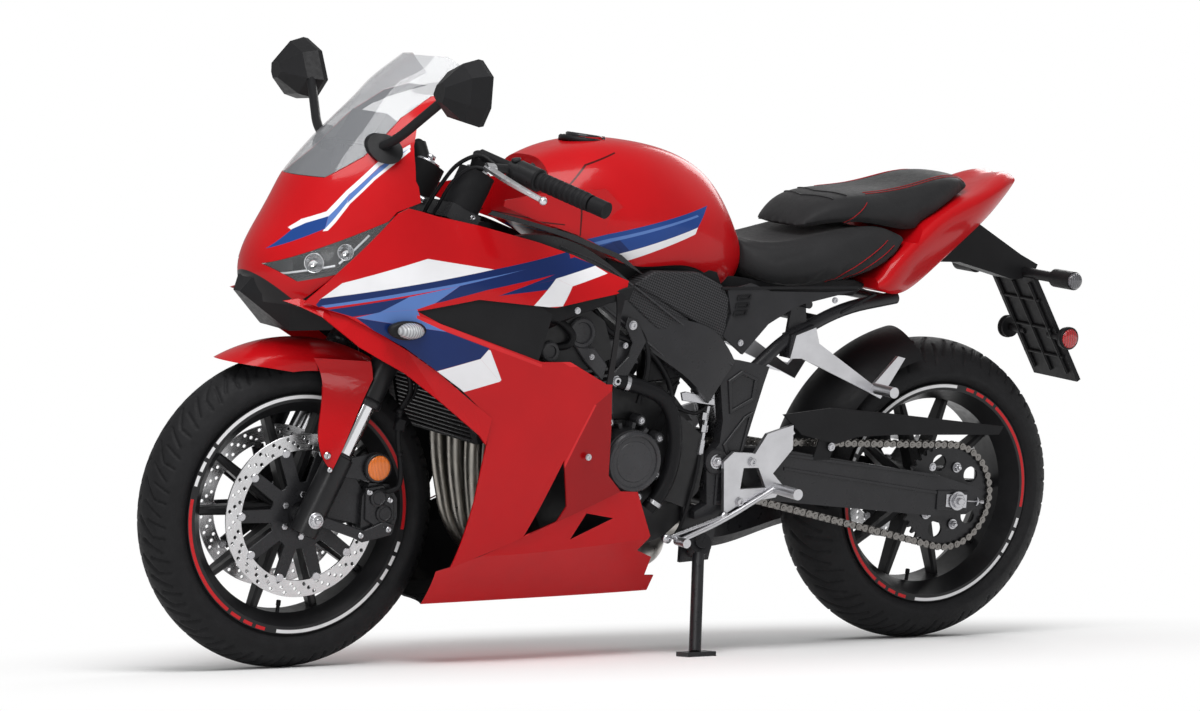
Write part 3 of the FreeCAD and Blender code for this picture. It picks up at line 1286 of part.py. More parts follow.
def side_stand():
    # Its pad lies flat on the floor when the machine leans on it
    leg_piece = rod("stand_leg", "stand_radius", "%f" % ((STAND_FOOT - STAND_PIVOT).Length - 29),
                    STAND_PIVOT + STAND_RUN * 21, STAND_RUN)
    level = Rotation(BACK, -size("lean_deg"))
    pad = doc.addObject("Part::Box", "stand_pad")
    bind(pad, Length="64", Width="44", Height="9")
    pad.Placement = Placement(STAND_FOOT + level.multVec(Vector(-30, -24, 0)), level)
    eye = rod("stand_eye", "24", "17.6", STAND_PIVOT - STAND_PIN * 8.6, STAND_PIN)
    hole = rod("stand_hole", "stand_pin_radius + 0.1", "60", STAND_PIVOT - STAND_PIN * 30,
               STAND_PIN)
    finished("side_stand", cut("side_stand", fuse("stand_solid", leg_piece, pad, eye), hole))


def stand_bracket():
    # A lug below the left pivot plate carries the pin that the stand turns on
    plate = side_slab("stand_plate", [(796, 312), (884, 312), (862, 204), (796, 200)], -141, "9")
    boss = rod("stand_boss", "17", "25", STAND_PIVOT - STAND_PIN * 34, STAND_PIN)
    pin = rod("stand_pin", "stand_pin_radius", "32", STAND_PIVOT - STAND_PIN * 20, STAND_PIN)
    head = rod("stand_pin_head", "stand_pin_radius + 5", "5", STAND_PIVOT + STAND_PIN * 9.4,
               STAND_PIN)
    return [plate, boss, pin, head]


wheels()
final_drive()
steering()
handlebars()
front_fender()
front_calipers()
main_frame()
engine()
radiator_and_exhaust()
swingarm()
nose()
side_fairing()
belly_pan()
tank_and_seats()
rear_trim()
front_trim()
controls()
side_stand()
doc.recompute()

# Lean it over to the left and set the origin on the ground
LEAN = Rotation(BACK, size("lean_deg"))
PARKED = Placement(Vector(-size("origin_back"), size("origin_left"), LIFT), LEAN)
for piece in PIECES:
    if piece in RIGHT_HANDS:
        piece.Normal = LEAN.multVec(ACROSS)
        piece.Base = PARKED.multVec(Vector(0, 0, 0))
    else:
        piece.Placement = PARKED.multiply(piece.Placement)
doc.recompute()

faults = []
for thing in doc.Objects:
    if "Invalid" in thing.State or "Error" in thing.State:
        faults.append("%s: %s" % (thing.Label, thing.State))
for piece in PIECES:
    shape = piece.Shape
    if shape.isNull() or not shape.isValid() or shape.Volume <= 0:
        faults.append("%s has no valid shape" % piece.Label)
if faults:
    raise RuntimeError("; ".join(faults))

whole = FreeCAD.BoundBox()
for piece in PIECES:
    whole.add(piece.Shape.BoundBox)
    piece.Shape.exportStep("parts/%s.step" % piece.Label)
print(len(PIECES), "pieces", whole)
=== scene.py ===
import math
from functools import partialmethod

import bmesh
import bpy
import numpy as np
from mathutils import Matrix, Vector
from mathutils.bvhtree import BVHTree


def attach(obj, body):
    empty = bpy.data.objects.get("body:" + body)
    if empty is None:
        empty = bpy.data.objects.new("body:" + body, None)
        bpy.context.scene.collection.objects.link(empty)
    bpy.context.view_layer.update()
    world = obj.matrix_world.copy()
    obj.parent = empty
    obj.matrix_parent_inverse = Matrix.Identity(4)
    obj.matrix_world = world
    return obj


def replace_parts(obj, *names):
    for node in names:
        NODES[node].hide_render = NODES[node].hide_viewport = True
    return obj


# The looks of a full-fairing sport motorcycle. Places are in millimetres on the upright
# machine: x rearwards from the front axle, y to the rider's right, z up from the ground.

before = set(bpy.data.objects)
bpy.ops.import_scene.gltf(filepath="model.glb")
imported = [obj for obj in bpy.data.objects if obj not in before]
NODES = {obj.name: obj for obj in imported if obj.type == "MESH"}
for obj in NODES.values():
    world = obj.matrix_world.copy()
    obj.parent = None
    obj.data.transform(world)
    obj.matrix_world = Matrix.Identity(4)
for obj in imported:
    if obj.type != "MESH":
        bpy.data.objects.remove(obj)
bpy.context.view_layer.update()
SCENE = bpy.context.scene

MM = 0.001
LEAN = math.radians(8.5)
RAKE = math.radians(25.5)
ROUND = 2 * math.pi
FRONT_RADIUS, FRONT_CROWN = 300, 62
REAR_RADIUS, REAR_CROWN = 315, 95
MIDDLE = Vector((-754, 150, 0))
MOVED = MIDDLE + Vector((0, 0, REAR_CROWN * (1 - math.cos(LEAN))))
BIKE = Matrix.Translation(MOVED * MM) @ Matrix.Rotation(LEAN, 4, "X") @ Matrix.Scale(MM, 4)
FRONT_AXLE = Vector((0, 0, FRONT_RADIUS))
REAR_AXLE = Vector((1450, 0, REAR_RADIUS))
UP_FORK = Vector((math.sin(RAKE), 0, math.cos(RAKE)))
CHAIN_Y, CHAIN_PITCH = -112, 15.875
OUT, IN, BACK, DOWN = (0, -1, 0), (0, 1, 0), (1, 0, 0), (0, 0, -1)


# Materials
class Look:
    """A procedural material, with short calls for the nodes that it is made of."""

    def __init__(self, **sockets):
        self.material = bpy.data.materials.new("look")
        self.material.use_nodes = True
        self.tree = self.material.node_tree
        self.shader = self.tree.nodes["Principled BSDF"]
        self.set(**sockets)
        place = self.node("TexCoord").outputs
        self.normal = place["Normal"]
        self.bike = self.node("Mapping", Vector=place["Object"], Rotation=(-LEAN, 0, 0),
                              Location=-(Matrix.Rotation(-LEAN, 3, "X") @ MOVED),
                              Scale=(1000, 1000, 1000)).outputs[0]
        self.place = self.x, self.y, self.z = self.apart(self.bike)

    def node(self, kind, options=(), **inputs):
        made = self.tree.nodes.new("ShaderNode" + kind)
        for word, value in dict(options).items():
            setattr(made, word, value)
        for word, value in inputs.items():
            self.feed(made.inputs[word.replace("_", " ")], value)
        return made

    def feed(self, socket, value):
        if isinstance(value, bpy.types.NodeSocket):
            self.tree.links.new(value, socket)
        elif socket.type == "RGBA" and len(value) == 3:
            socket.default_value = (*value, 1)
        else:
            socket.default_value = value

    def set(self, **sockets):
        for word, value in sockets.items():
            self.feed(self.shader.inputs[word.replace("_", " ")], value)

    def dress(self, colour, rough, height, depth):
        """Sets colour and roughness, and a bump of so many millimetres."""
        bump = self.node("Bump", Height=height, Distance=depth * MM).outputs[0]
        self.set(Base_Color=colour, Roughness=rough, Normal=bump)
        return self

    def apart(self, vector):
        return self.node("SeparateXYZ", Vector=vector).outputs

    def maths(self, operation, *values, clamp=False):
        made = self.node("Math", {"operation": operation, "use_clamp": clamp})
        for socket, value in zip(made.inputs, values):
            self.feed(socket, value)
        return made.outputs[0]

    times = partialmethod(maths, "MULTIPLY")
    plus = partialmethod(maths, "ADD")
    less = partialmethod(maths, "SUBTRACT")
    times_plus = partialmethod(maths, "MULTIPLY_ADD")
    over = partialmethod(maths, "GREATER_THAN")
    under = partialmethod(maths, "LESS_THAN")

    def fold(self, operation, values):
        """One value from several, taken in order."""
        total, *others = values
        for value in others:
            total = self.maths(operation, total, value)
        return total

    def span(self, value, low, high, to_low=0.0, to_high=1.0):
        return self.node("MapRange", Value=value, From_Min=low, From_Max=high,
                         To_Min=to_low, To_Max=to_high).outputs[0]

    def blend(self, share, first, second):
        made = self.node("Mix", {"data_type": "RGBA"})
        for number, value in ((0, share), (6, first), (7, second)):
            self.feed(made.inputs[number], value)
        return made.outputs[2]

    def noise(self, size, detail=3.0, vector=None):
        return self.node("TexNoise", Vector=vector or self.bike, Scale=1 / size,
                         Detail=detail, Roughness=0.55).outputs[0]

    def cloudy(self, size, low, high):
        """A value that drifts between two others over so many millimetres."""
        return self.span(self.noise(size), 0.3, 0.7, low, high)

    def cells(self, size, feature="F1"):
        return self.node("TexVoronoi", {"feature": feature}, Vector=self.bike,
                         Scale=1 / size).outputs[0]

    def waves(self, value, pitch):
        return self.maths("SINE", self.times(value, ROUND / pitch))

    def tinted(self, colour, share, value):
        """The colour, a little darker and lighter with a value from nought to one."""
        return self.blend(value, [c * (1 - share) for c in colour],
                          [min(1, c * (1 + share)) for c in colour])

    # Painted shade and highlight: the colour is darker where a wave is low and lighter where it is
    # high, and the looks that use it bump the surface with that same wave
    def relief_shaded(self, colour, share, wave):
        return self.tinted(colour, share, self.span(wave, -1, 1))

    def polygon(self, corners, soft=0.7):
        """One inside a convex outline in side view, nought outside it."""
        edges = list(zip(corners, corners[1:] + corners[:1]))
        sign = math.copysign(1, sum(a[0] * b[1] - b[0] * a[1] for a, b in edges))
        depths = []
        for a, b in edges:
            run = (Vector(b) - Vector(a)).normalized() * sign
            along = self.times_plus(self.z, run.x, a[0] * run.y - a[1] * run.x)
            depths.append(self.times_plus(self.x, -run.y, along))
        return self.times_plus(self.fold("MINIMUM", depths), 1 / soft, 0.5, clamp=True)

    def painted(self, colour, *areas):
        """The colour with flat areas laid over it in order, each a colour and its outlines."""
        for over, *outlines in areas:
            for outline in outlines:
                colour = self.blend(self.polygon(outline), colour, over)
        return colour

    def outward(self, centre, shares):
        """One on the faces that look away from a centre, nought on the inner ones."""
        turned = self.node("Mapping", {"vector_type": "VECTOR"}, Vector=self.normal,
                           Rotation=(-LEAN, 0, 0)).outputs[0]
        terms = [self.times(self.times(self.less(here, middle), way), share)
                 for here, middle, way, share in zip(self.place, centre, self.apart(turned), shares)
                 if share]
        return self.over(self.fold("ADD", terms), -4.0)

    def capsule(self, start, end, radius):
        """One within a radius of the line between two places."""
        run = Vector(end) - Vector(start)
        parts = [self.less(here, a) for here, a in zip(self.place, start)]
        shares = [self.times(part, way / run.length_squared) for part, way in zip(parts, run)]
        along = self.plus(self.fold("ADD", shares), 0.0, clamp=True)
        gaps = [self.less(part, self.times(along, way)) for part, way in zip(parts, run)]
        return self.under(self.fold("ADD", [self.times(g, g) for g in gaps]), radius ** 2)

    def polar(self, centre):
        """Distance from an axle and the angle round it."""
        dx, dz = self.less(self.x, centre.x), self.less(self.z, centre.z)
        squares = self.plus(self.times(dx, dx), self.times(dz, dz))
        return self.maths("SQRT", squares), self.maths("ARCTAN2", dz, dx)


RED = (0.47, 0.0035, 0.0065)
# Painted highlight: a lighter red laid along the side panels' creases
CREASE_HIGHLIGHT_RED = (0.62, 0.018, 0.022)
# Painted shade: a darker red laid in the side panels' recess
RECESS_SHADE_RED = (0.30, 0.0022, 0.0042)
WHITE = (0.76, 0.76, 0.78)
NAVY = (0.004, 0.020, 0.105)
BLUE = (0.010, 0.050, 0.220)
LIGHT_BLUE = (0.085, 0.175, 0.440)
BLACK = (0.009, 0.009, 0.010)
# Dark joint lines of the tank's seam, and painted shade along its lower crease
SEAM_AND_CREASE_SHADE = (0.06, 0.0006, 0.001)


def grey(tone, cool=0.001):
    """A dark tone that is a trace cooler in its blue."""
    return (tone, tone, tone + cool)


def paint(*areas, inside=None):
    """Satin lacquer over fine metal flakes, with a trace of orange peel; black inside."""
    look = Look(Coat_Weight=0.34, Coat_Roughness=0.12, Specular_IOR_Level=0.06)
    flakes = look.span(look.cells(0.9), 0.0, 0.12, 0.04, 0.0)
    colour = look.blend(flakes, look.painted(RED, *areas), (0.85, 0.06, 0.06))
    colour = look.blend(look.cloudy(140, 0.12, 0.0), colour, (0.02, 0.002, 0.003))
    rough = look.cloudy(24, 0.34, 0.42)
    if inside:
        outer = look.outward(*inside)
        colour = look.blend(outer, BLACK, colour)
        rough = look.times_plus(outer, -0.25, look.plus(rough, 0.25))
    return look.dress(colour, rough, look.noise(5, 2.0), 0.02)


def plastic(colour, rough=0.5, grain=0.05, size=0.9):
    """Moulded plastic with a fine spark-eroded grain."""
    look = Look(Specular_IOR_Level=0.14)
    return look.dress(look.tinted(colour, 0.25, look.noise(60)),
                      look.cloudy(9, rough - 0.06, rough + 0.08), look.cells(size), grain)


def coated(colour, rough=0.36, metallic=0.0, size=2.2):
    """Powder coat or paint on a metal casting."""
    look = Look(Metallic=metallic, Specular_IOR_Level=0.32)
    return look.dress(look.tinted(colour, 0.3, look.noise(45, 4)),
                      look.cloudy(14, rough - 0.08, rough + 0.10), look.noise(size, 3), 0.09)


def bare_metal(colour, rough, scale=(1 / 14, 1, 1)):
    """Bare metal with fine lines along the direction that the scale stretches."""
    look = Look(Metallic=1.0)
    lines = look.noise(1.2, 3, look.node("Mapping", Vector=look.bike, Scale=scale).outputs[0])
    return look.dress(look.tinted(colour, 0.16, look.noise(38, 4)),
                      look.span(lines, 0.3, 0.7, rough - 0.06, rough + 0.10), lines, 0.015)


def fork_leg():
    """Black fork with the bare chromed tube between its casting and its upper tube."""
    look = Look(Specular_IOR_Level=0.3)
    up = look.times(look.less(look.z, FRONT_AXLE.z), UP_FORK.z)
    along = look.times_plus(look.x, UP_FORK.x, up)
    bare = look.times(look.over(along, 128.5), look.under(along, 235.5))
    look.set(Metallic=bare)
    black = look.tinted(grey(0.010), 0.3, look.noise(45, 4))
    rough = look.times(look.cloudy(14, 0.28, 0.40), look.times_plus(bare, -0.72, 1.0))
    return look.dress(look.blend(bare, black, grey(0.74, 0.02)), rough, look.noise(3.0, 2), 0.03)


def hand_controls():
    """Black switch box and perch with a polished lever."""
    look = Look(Specular_IOR_Level=0.25)
    lever = [(277, 208, 971), (287, 272, 950), (309, 359, 924)]
    near = [look.capsule((a[0], side * a[1], a[2]), (b[0], side * b[1], b[2]), 16)
            for side in (-1, 1) for a, b in zip(lever, lever[1:])]
    bare = look.fold("MAXIMUM", near)
    look.set(Metallic=bare)
    black = look.tinted(grey(0.012), 0.3, look.noise(30))
    return look.dress(look.blend(bare, black, grey(0.66, 0.02)), look.cloudy(9, 0.26, 0.40),
                      look.cells(1.0), 0.04)


def finned():
    """Radiator core: fine upright folds between flat tubes, with painted shade in the folds'
    hollows and painted highlight on their crests.
    """
    look = Look(Metallic=0.4, Specular_IOR_Level=0.3)
    folds, tubes = look.waves(look.y, 2.4), look.waves(look.z, 8.4)
    return look.dress(look.relief_shaded(grey(0.010), 0.7, folds), look.cloudy(9, 0.45, 0.60),
                      look.plus(folds, tubes), 0.5)


def lit(colour, strength):
    """A lamp's light guide, faintly shining, with fine ribs that carry painted shade between them
    and painted highlight on them.
    """
    look = Look(Emission_Color=colour, Emission_Strength=strength)
    ribs = look.waves(look.y, 3.0)
    return look.dress(look.relief_shaded(colour, 0.1, ribs), 0.2, ribs, 0.2)


def rubber_tyre(centre):
    """Black rubber: moulded rings on the side wall, dust in its pores."""
    look = Look(Specular_IOR_Level=0.14)
    far, _ = look.polar(centre)
    wall = look.span(far, centre.z - 36, centre.z - 44)
    rings = look.times(look.waves(far, 3.1), wall)
    return look.dress(look.tinted(grey(0.013), 0.4, look.noise(22, 5)), look.cloudy(6, 0.52, 0.68),
                      look.times_plus(rings, 0.35, look.noise(0.8)), 0.16)


def rim_paint(centre, half_width):
    """Satin black cast wheel with a segmented tape round the edge of each flange."""
    look = Look(Specular_IOR_Level=0.3)
    far, angle = look.polar(centre)
    edge = look.times(look.span(far, 219.6, 220.2), look.span(far, 226.6, 226.0))
    side = look.span(look.maths("ABSOLUTE", look.y), half_width - 3, half_width - 2.5)
    # Four stretches, red and white in turn, each broken up towards its end
    turns = look.times_plus(angle, 2 / math.pi, 4 + 1 / 6)
    place = look.maths("FRACT", turns)
    white = look.maths("FLOORED_MODULO", look.maths("FLOOR", turns), 2.0)
    parts = [look.over(look.maths("ABSOLUTE", look.less(place, gap)), 0.012)
             for gap in (0.76, 0.85, 0.93)]
    band = look.fold("MULTIPLY", [edge, side, look.over(place, 0.07), *parts])
    tape = look.blend(white, (0.50, 0.006, 0.010), grey(0.70, 0.01))
    black = look.tinted(grey(0.012), 0.3, look.noise(60))
    return look.dress(look.blend(band, black, tape), look.cloudy(12, 0.30, 0.42),
                      look.noise(2.4), 0.05)


def brake_steel(centre):
    """Ground steel with rings that the pads have worn."""
    look = Look(Metallic=1.0)
    far, angle = look.polar(centre)
    rings = look.node("CombineXYZ", X=far, Y=look.times(angle, 2.0)).outputs[0]
    worn = look.noise(0.7, 2, rings)
    return look.dress(look.tinted(grey(0.60, 0.01), 0.12, look.noise(30)),
                      look.span(worn, 0.3, 0.7, 0.20, 0.34), worn, 0.03)


def vinyl(colour, pore=1.6):
    """Seat cover with a fine leather grain."""
    look = Look(Specular_IOR_Level=0.14, Sheen_Weight=0.06, Sheen_Roughness=0.5)
    grain = look.times_plus(look.noise(22, 5), 0.5, look.cells(pore, "SMOOTH_F1"))
    return look.dress(look.tinted(colour, 0.28, look.noise(70, 4)), look.cloudy(11, 0.50, 0.64),
                      grain, 0.22)


def see_through(colour, alpha):
    """Thin clear plastic with a faint unevenness."""
    look = Look(Alpha=alpha, Specular_IOR_Level=0.6, Coat_Weight=0.5, Coat_Roughness=0.03)
    return look.dress(look.tinted(colour, 0.06, look.noise(50)), look.cloudy(30, 0.06, 0.11),
                      look.noise(18, 1.0), 0.02)


def ribbed_lens(colour, alpha, pitch):
    """A lens with moulded ribs, with painted shade between them and painted highlight on them."""
    look = Look(Alpha=alpha, Specular_IOR_Level=0.6, Coat_Weight=0.6, Coat_Roughness=0.05)
    ribs = look.waves(look.x, pitch)
    return look.dress(look.relief_shaded(colour, 0.3, ribs), 0.12, ribs, 0.5)


def heated():
    """Stainless exhaust pipe, straw and grey where it has been hot."""
    look = Look(Metallic=1.0)
    hot = look.times(look.span(look.x, 380, 620), 0.5)
    tone = look.times_plus(look.noise(55, 5), 0.5, hot)
    straw = look.blend(look.span(tone, 0.1, 0.5), (0.30, 0.29, 0.27), (0.50, 0.46, 0.40))
    return look.dress(look.blend(look.span(tone, 0.5, 0.85), straw, (0.56, 0.55, 0.53)),
                      look.cloudy(16, 0.26, 0.42), look.noise(3), 0.04)


def woven():
    """Rubber knee pad with a square raised pattern, with painted shade in its hollows and painted
    highlight on its squares.
    """
    look = Look(Specular_IOR_Level=0.14)
    turned = look.node("Mapping", Vector=look.bike, Rotation=(0, 0.45, 0)).outputs[0]
    x, _, z = look.apart(turned)
    squares = look.times(look.waves(x, ROUND / 0.9), look.waves(z, ROUND / 0.9))
    return look.dress(look.relief_shaded(grey(0.030, 0.002), 0.8, squares), look.cloudy(8, 0.50, 0.64),
                      squares, 0.30)


def ribbon(one, other):
    """Four-cornered outlines between two lines of places."""
    return [[a, b, d, c] for a, b, c, d in zip(one, one[1:], other, other[1:])]


NOSE_AREAS = [
    (WHITE,
     *ribbon([(-64, 842), (-44, 859), (-7, 876), (28, 916), (85, 970), (144, 1006)],
             [(-61, 838), (-38, 852), (-4, 867), (31, 909), (87, 963), (144, 1000)]),
     [(-17, 840), (-13, 847), (0, 863), (4, 857), (-9, 842)],
     *ribbon([(0, 862), (27, 898), (73, 943), (142, 1000)],
             [(4, 857), (31, 893), (76, 938), (143, 994)])),
    (BLUE, [(-96, 800), (-59, 840), (-39, 853), (-5, 868), (-13, 845)]),
    (LIGHT_BLUE, [(-13, 845), (-5, 868), (8, 882), (10, 873), (-1, 859)],
     [(8, 882), (33, 912), (26, 894), (10, 873)],
     [(26, 893), (33, 911), (89, 964), (73, 941)],
     [(73, 941), (89, 964), (140, 998)]),
    (BLACK, [(-150, 761), (-116, 757), (-62, 712), (-54, 690), (-150, 690)])]
SIDE_AREAS = [
    (WHITE, [(-32, 717), (5, 749), (159, 800), (293, 783)]),
    (NAVY,
     [(-38, 707), (-30, 719), (293, 783), (470, 816), (470, 799), (223, 752), (-30, 700)],
     [(-22, 700), (124, 729), (200, 745), (175, 719), (72, 698), (30, 687)],
     [(222, 752), (481, 806), (530, 790), (440, 768), (174, 719)],
     [(174, 720), (440, 768), (372, 714), (262, 730)],
     [(30, 687), (199, 666), (289, 636), (272, 616), (178, 590), (140, 612)]),
    (LIGHT_BLUE,
     [(-34, 708), (123, 738), (223, 759), (468, 809), (470, 802), (218, 751), (122, 729),
      (-20, 702)],
     [(124, 729), (222, 752), (174, 719), (138, 706), (72, 699)],
     [(138, 706), (72, 699), (30, 687), (149, 684)],
     [(30, 687), (150, 686), (199, 666)],
     [(140, 706), (149, 686), (90, 690)]),
    (WHITE,
     [(289, 636), (291, 632), (351, 612), (316, 573), (272, 616)],
     [(272, 616), (316, 573), (244, 553), (180, 590)],
     [(428, 767), (526, 790), (552, 776), (464, 753)],
     [(428, 767), (464, 753), (440, 716), (372, 712)]),
    (RED, [(177, 719), (278, 745), (423, 774), (279, 727)],
     [(-40, 705), (63, 667), (178, 588), (313, 500), (260, 480), (20, 650)]),
    # Painted highlight along the creases of the side panels
    (CREASE_HIGHLIGHT_RED, [(140, 697), (186, 681), (402, 610), (402, 600), (186, 671), (140, 690)],
     [(402, 611), (466, 611), (556, 564), (556, 555), (464, 601), (402, 601)]),
    # Painted shade in the recessed facet at the lower rear of the side panels
    (RECESS_SHADE_RED, [(569, 556), (530, 527), (500, 466), (582, 415)],
     [(500, 466), (477, 420), (430, 325), (582, 415)],
     [(430, 325), (399, 255), (395, 236), (700, 250), (664, 352), (582, 415)]),
    # Painted highlight along the edge of the painted shade in the recess
    (CREASE_HIGHLIGHT_RED, *ribbon([(528, 528), (496, 464), (475, 421), (396, 256)],
                        [(532, 526), (500, 462), (480, 419), (402, 254)])),
    (BLACK, [(550, 566), (566, 738), (572, 740), (640, 754), (640, 562)])]
TANK_AREAS = [
    (SEAM_AND_CREASE_SHADE, *ribbon([(499, 936), (507, 886), (507.5, 843)], [(503, 936), (511, 886), (510.5, 843)]),
     [(499, 936), (503, 936), (545, 975), (541, 976)],
     [(541, 976), (545, 974), (612, 998), (612, 1000.5)],
     # Painted shade along the tank's lower crease
     [(390, 872), (474, 865), (474, 862.5), (390, 869)]),
    (BLUE, [(524, 837), (816, 903), (781, 862), (594, 808)]),
    (NAVY, [(556, 823), (595, 837), (619, 817), (594, 808)]),
    (LIGHT_BLUE, [(540, 831), (781, 886), (785, 883), (551, 826)]),
    (WHITE, [(594, 808), (781, 862), (774, 849), (619, 796)])]

# The looks under the material slot of the record that they are for
SLOT_LOOKS = {
    "red_paint": {
        "red": paint(), "tank_red": paint(*TANK_AREAS),
        "fender_red": paint(inside=((0, 0, 300), (1, 0.6, 1))),
        "belly_red": paint(inside=((450, 0, 320), (0, 1, 1))),
        "nose_red": paint(*NOSE_AREAS, inside=((220, 0, 850), (1, 1, 0.3))),
        "side_red": paint(*SIDE_AREAS, inside=((0, 0, 0), (0, 1, 0)))},
    "black_plastic": {
        "black_plastic": plastic(grey(0.011), 0.46),
        "grey_plastic": plastic(grey(0.026, 0.002), 0.50),
        "hose": plastic(grey(0.008), 0.42, 0.02, 0.6), "woven": woven(),
        "display": lit((0.012, 0.014, 0.020), 0.4), "controls": hand_controls()},
    "black_metal": {"black_metal": coated(grey(0.016, 0.002), 0.32)},
    "engine_metal": {"engine_metal": coated(grey(0.012), 0.40, 0.0, 1.6),
                     "engine_cover": coated(grey(0.034, 0.003), 0.30, 0.0, 1.2)},
    "alloy_black": {"alloy_black": coated(grey(0.020, 0.002), 0.28, 0.2), "radiator": finned()},
    "fork_metal": {"fork_metal": fork_leg()},
    "steel": {"steel": bare_metal(grey(0.50, 0.02), 0.26), "exhaust": heated()},
    "silver_metal": {"silver": bare_metal(grey(0.58, 0.02), 0.34)},
    "chain_steel": {"chain": bare_metal((0.22, 0.21, 0.20), 0.30, (1, 1, 1 / 4))},
    "seat_cover": {"seat": vinyl(grey(0.017)), "seam": vinyl(grey(0.012), 0.8),
                   "thread": plastic((0.36, 0.010, 0.014), 0.6, 0.05, 0.3)},
    "grip_rubber": {"rubber": plastic(grey(0.010), 0.60, 0.12, 1.4)},
    "smoke": {"smoke": see_through((0.30, 0.31, 0.33), 0.34)},
    "clear": {"clear": see_through((0.60, 0.62, 0.64), 0.10),
              "glow": lit((0.85, 0.87, 0.90), 0.25),
              "bowl": bare_metal((0.72, 0.73, 0.75), 0.12, (1, 1 / 2, 1)),
              "mirror": bare_metal((0.86, 0.87, 0.88), 0.02, (1, 1 / 60, 1)),
              "smoke_ribs": ribbed_lens(grey(0.09, 0.01), 0.92, 5.0),
              "clear_ribs": ribbed_lens((0.50, 0.51, 0.53), 0.75, 5.0)},
    "red_lens": {"red_lens": ribbed_lens((0.42, 0.006, 0.008), 0.94, 6.0),
                 "orange": ribbed_lens((0.78, 0.17, 0.01), 1.0, 3.0)},
    "tyre": {"front_tyre": rubber_tyre(FRONT_AXLE), "rear_tyre": rubber_tyre(REAR_AXLE)},
    "rim_black": {"front_rim": rim_paint(FRONT_AXLE, 54), "rear_rim": rim_paint(REAR_AXLE, 80)},
    "disc_steel": {"front_disc": brake_steel(FRONT_AXLE), "rear_disc": brake_steel(REAR_AXLE)},
}
LOOKS, SLOTS = {}, {}
for slot_name, looks in SLOT_LOOKS.items():
    for look_name, look in looks.items():
        look.material.name = look_name
        LOOKS[look_name], SLOTS[look_name] = look.material, slot_name

# The nodes of each look, a star standing for left and right
NODE_LOOKS = {
    "black_metal": "rear_sprocket side_stand main_frame muffler swingarm",
    "alloy_black": "triple_clamps front_caliper_* rear_caliper", "fork_metal": "fork_*",
    "steel": "front_axle rear_axle shock", "exhaust": "exhaust_pipes", "silver": "rider_step_* "
    "pillion_step_*", "chain": "chain", "engine_metal": "crankcase cylinder_head",
    "radiator": "radiator", "red": "tail_cowl", "fender_red": "front_fender",
    "tank_red": "fuel_tank", "nose_red": "upper_cowl", "side_red": "side_fairing_*",
    "belly_red": "belly_pan", "smoke": "windscreen", "clear": "headlight",
    "red_lens": "tail_light", "seat": "seat_front seat_rear", "rubber": "handlebar_*",
    "controls": "controls_*", "grey_plastic": "side_cover_*",
    "black_plastic": "dashboard fairing_duct_* hugger plate_holder signal_front_* chain_guard "
    "mirror_*", "front_tyre": "front_tyre", "rear_tyre": "rear_tyre",
    "front_rim": "front_rim", "rear_rim": "rear_rim", "front_disc": "front_disc_*",
    "rear_disc": "rear_disc",
}


def dress_nodes():
    """Gives each solid of the frame its look."""
    for look, words in NODE_LOOKS.items():
        for name in [word.replace("*", side) for word in words.split()
                     for side in ("left", "right")]:
            materials = NODES[name].data.materials
            if not materials:
                materials.append(LOOKS[look])
            for i in range(len(materials)):
                materials[i] = LOOKS[look]


# Small builders
def placed(name, data):
    """A new object in the scene."""
    made = bpy.data.objects.new(name, data)
    SCENE.collection.objects.link(made)
    return made


def shape_of(mesh, change=BIKE.inverted()):
    """A copy of a mesh to work on, in bike millimetres."""
    shape = bmesh.new()
    shape.from_mesh(mesh)
    bmesh.ops.transform(shape, matrix=change, verts=shape.verts)
    return shape


def as_mesh(shape):
    """The mesh of a shape that is done with."""
    mesh = bpy.data.meshes.new("mesh")
    shape.to_mesh(mesh)
    shape.free()
    return mesh


def mesh_of(points, faces):
    """A mesh from its points and its faces."""
    mesh = bpy.data.meshes.new("mesh")
    mesh.from_pydata([tuple(p) for p in points], [], faces)
    mesh.update()
    return mesh


def joined(*meshes):
    """One mesh from several."""
    whole = bmesh.new()
    for mesh in meshes:
        whole.from_mesh(mesh)
    return as_mesh(whole)


def both(*meshes):
    """The meshes and their mirror image on the other side."""
    mesh = joined(*meshes)
    other = mesh.copy()
    other.transform(Matrix.Scale(-1, 4, (0, 1, 0)))
    other.flip_normals()
    return joined(mesh, other)


def moved(mesh, place):
    mesh.transform(Matrix.Translation(place))
    return mesh


def piece(name, mesh, look, body="chassis", slot=None, smooth=False, change=BIKE):
    """A new piece from one or more meshes in bike millimetres."""
    mesh = joined(*mesh) if isinstance(mesh, list) else mesh
    mesh.transform(change)
    mesh.name = name
    mesh.materials.clear()
    mesh.materials.append(LOOKS[look])
    for face in mesh.polygons:
        face.use_smooth = smooth
    made = placed(name, mesh)
    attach(made, body)
    return made


def pair(name, meshes, *rest, **more):
    """A piece with its mirror image."""
    return piece(name, both(*meshes), *rest, **more)


def grid_faces(rows, columns, wrap_rows=False, wrap_columns=False):
    """Four-cornered faces between rows of points, closed into a ring where they wrap."""
    faces = []
    for i in range(rows if wrap_rows else rows - 1):
        for j in range(columns if wrap_columns else columns - 1):
            here, there, after = i * columns, (i + 1) % rows * columns, (j + 1) % columns
            faces.append((here + j, here + after, there + after, there + j))
    return faces


def ring_points(radius, count, middle=(0, 0)):
    """Places round a circle."""
    return [(middle[0] + radius * math.cos(ROUND * i / count),
             middle[1] + radius * math.sin(ROUND * i / count)) for i in range(count)]


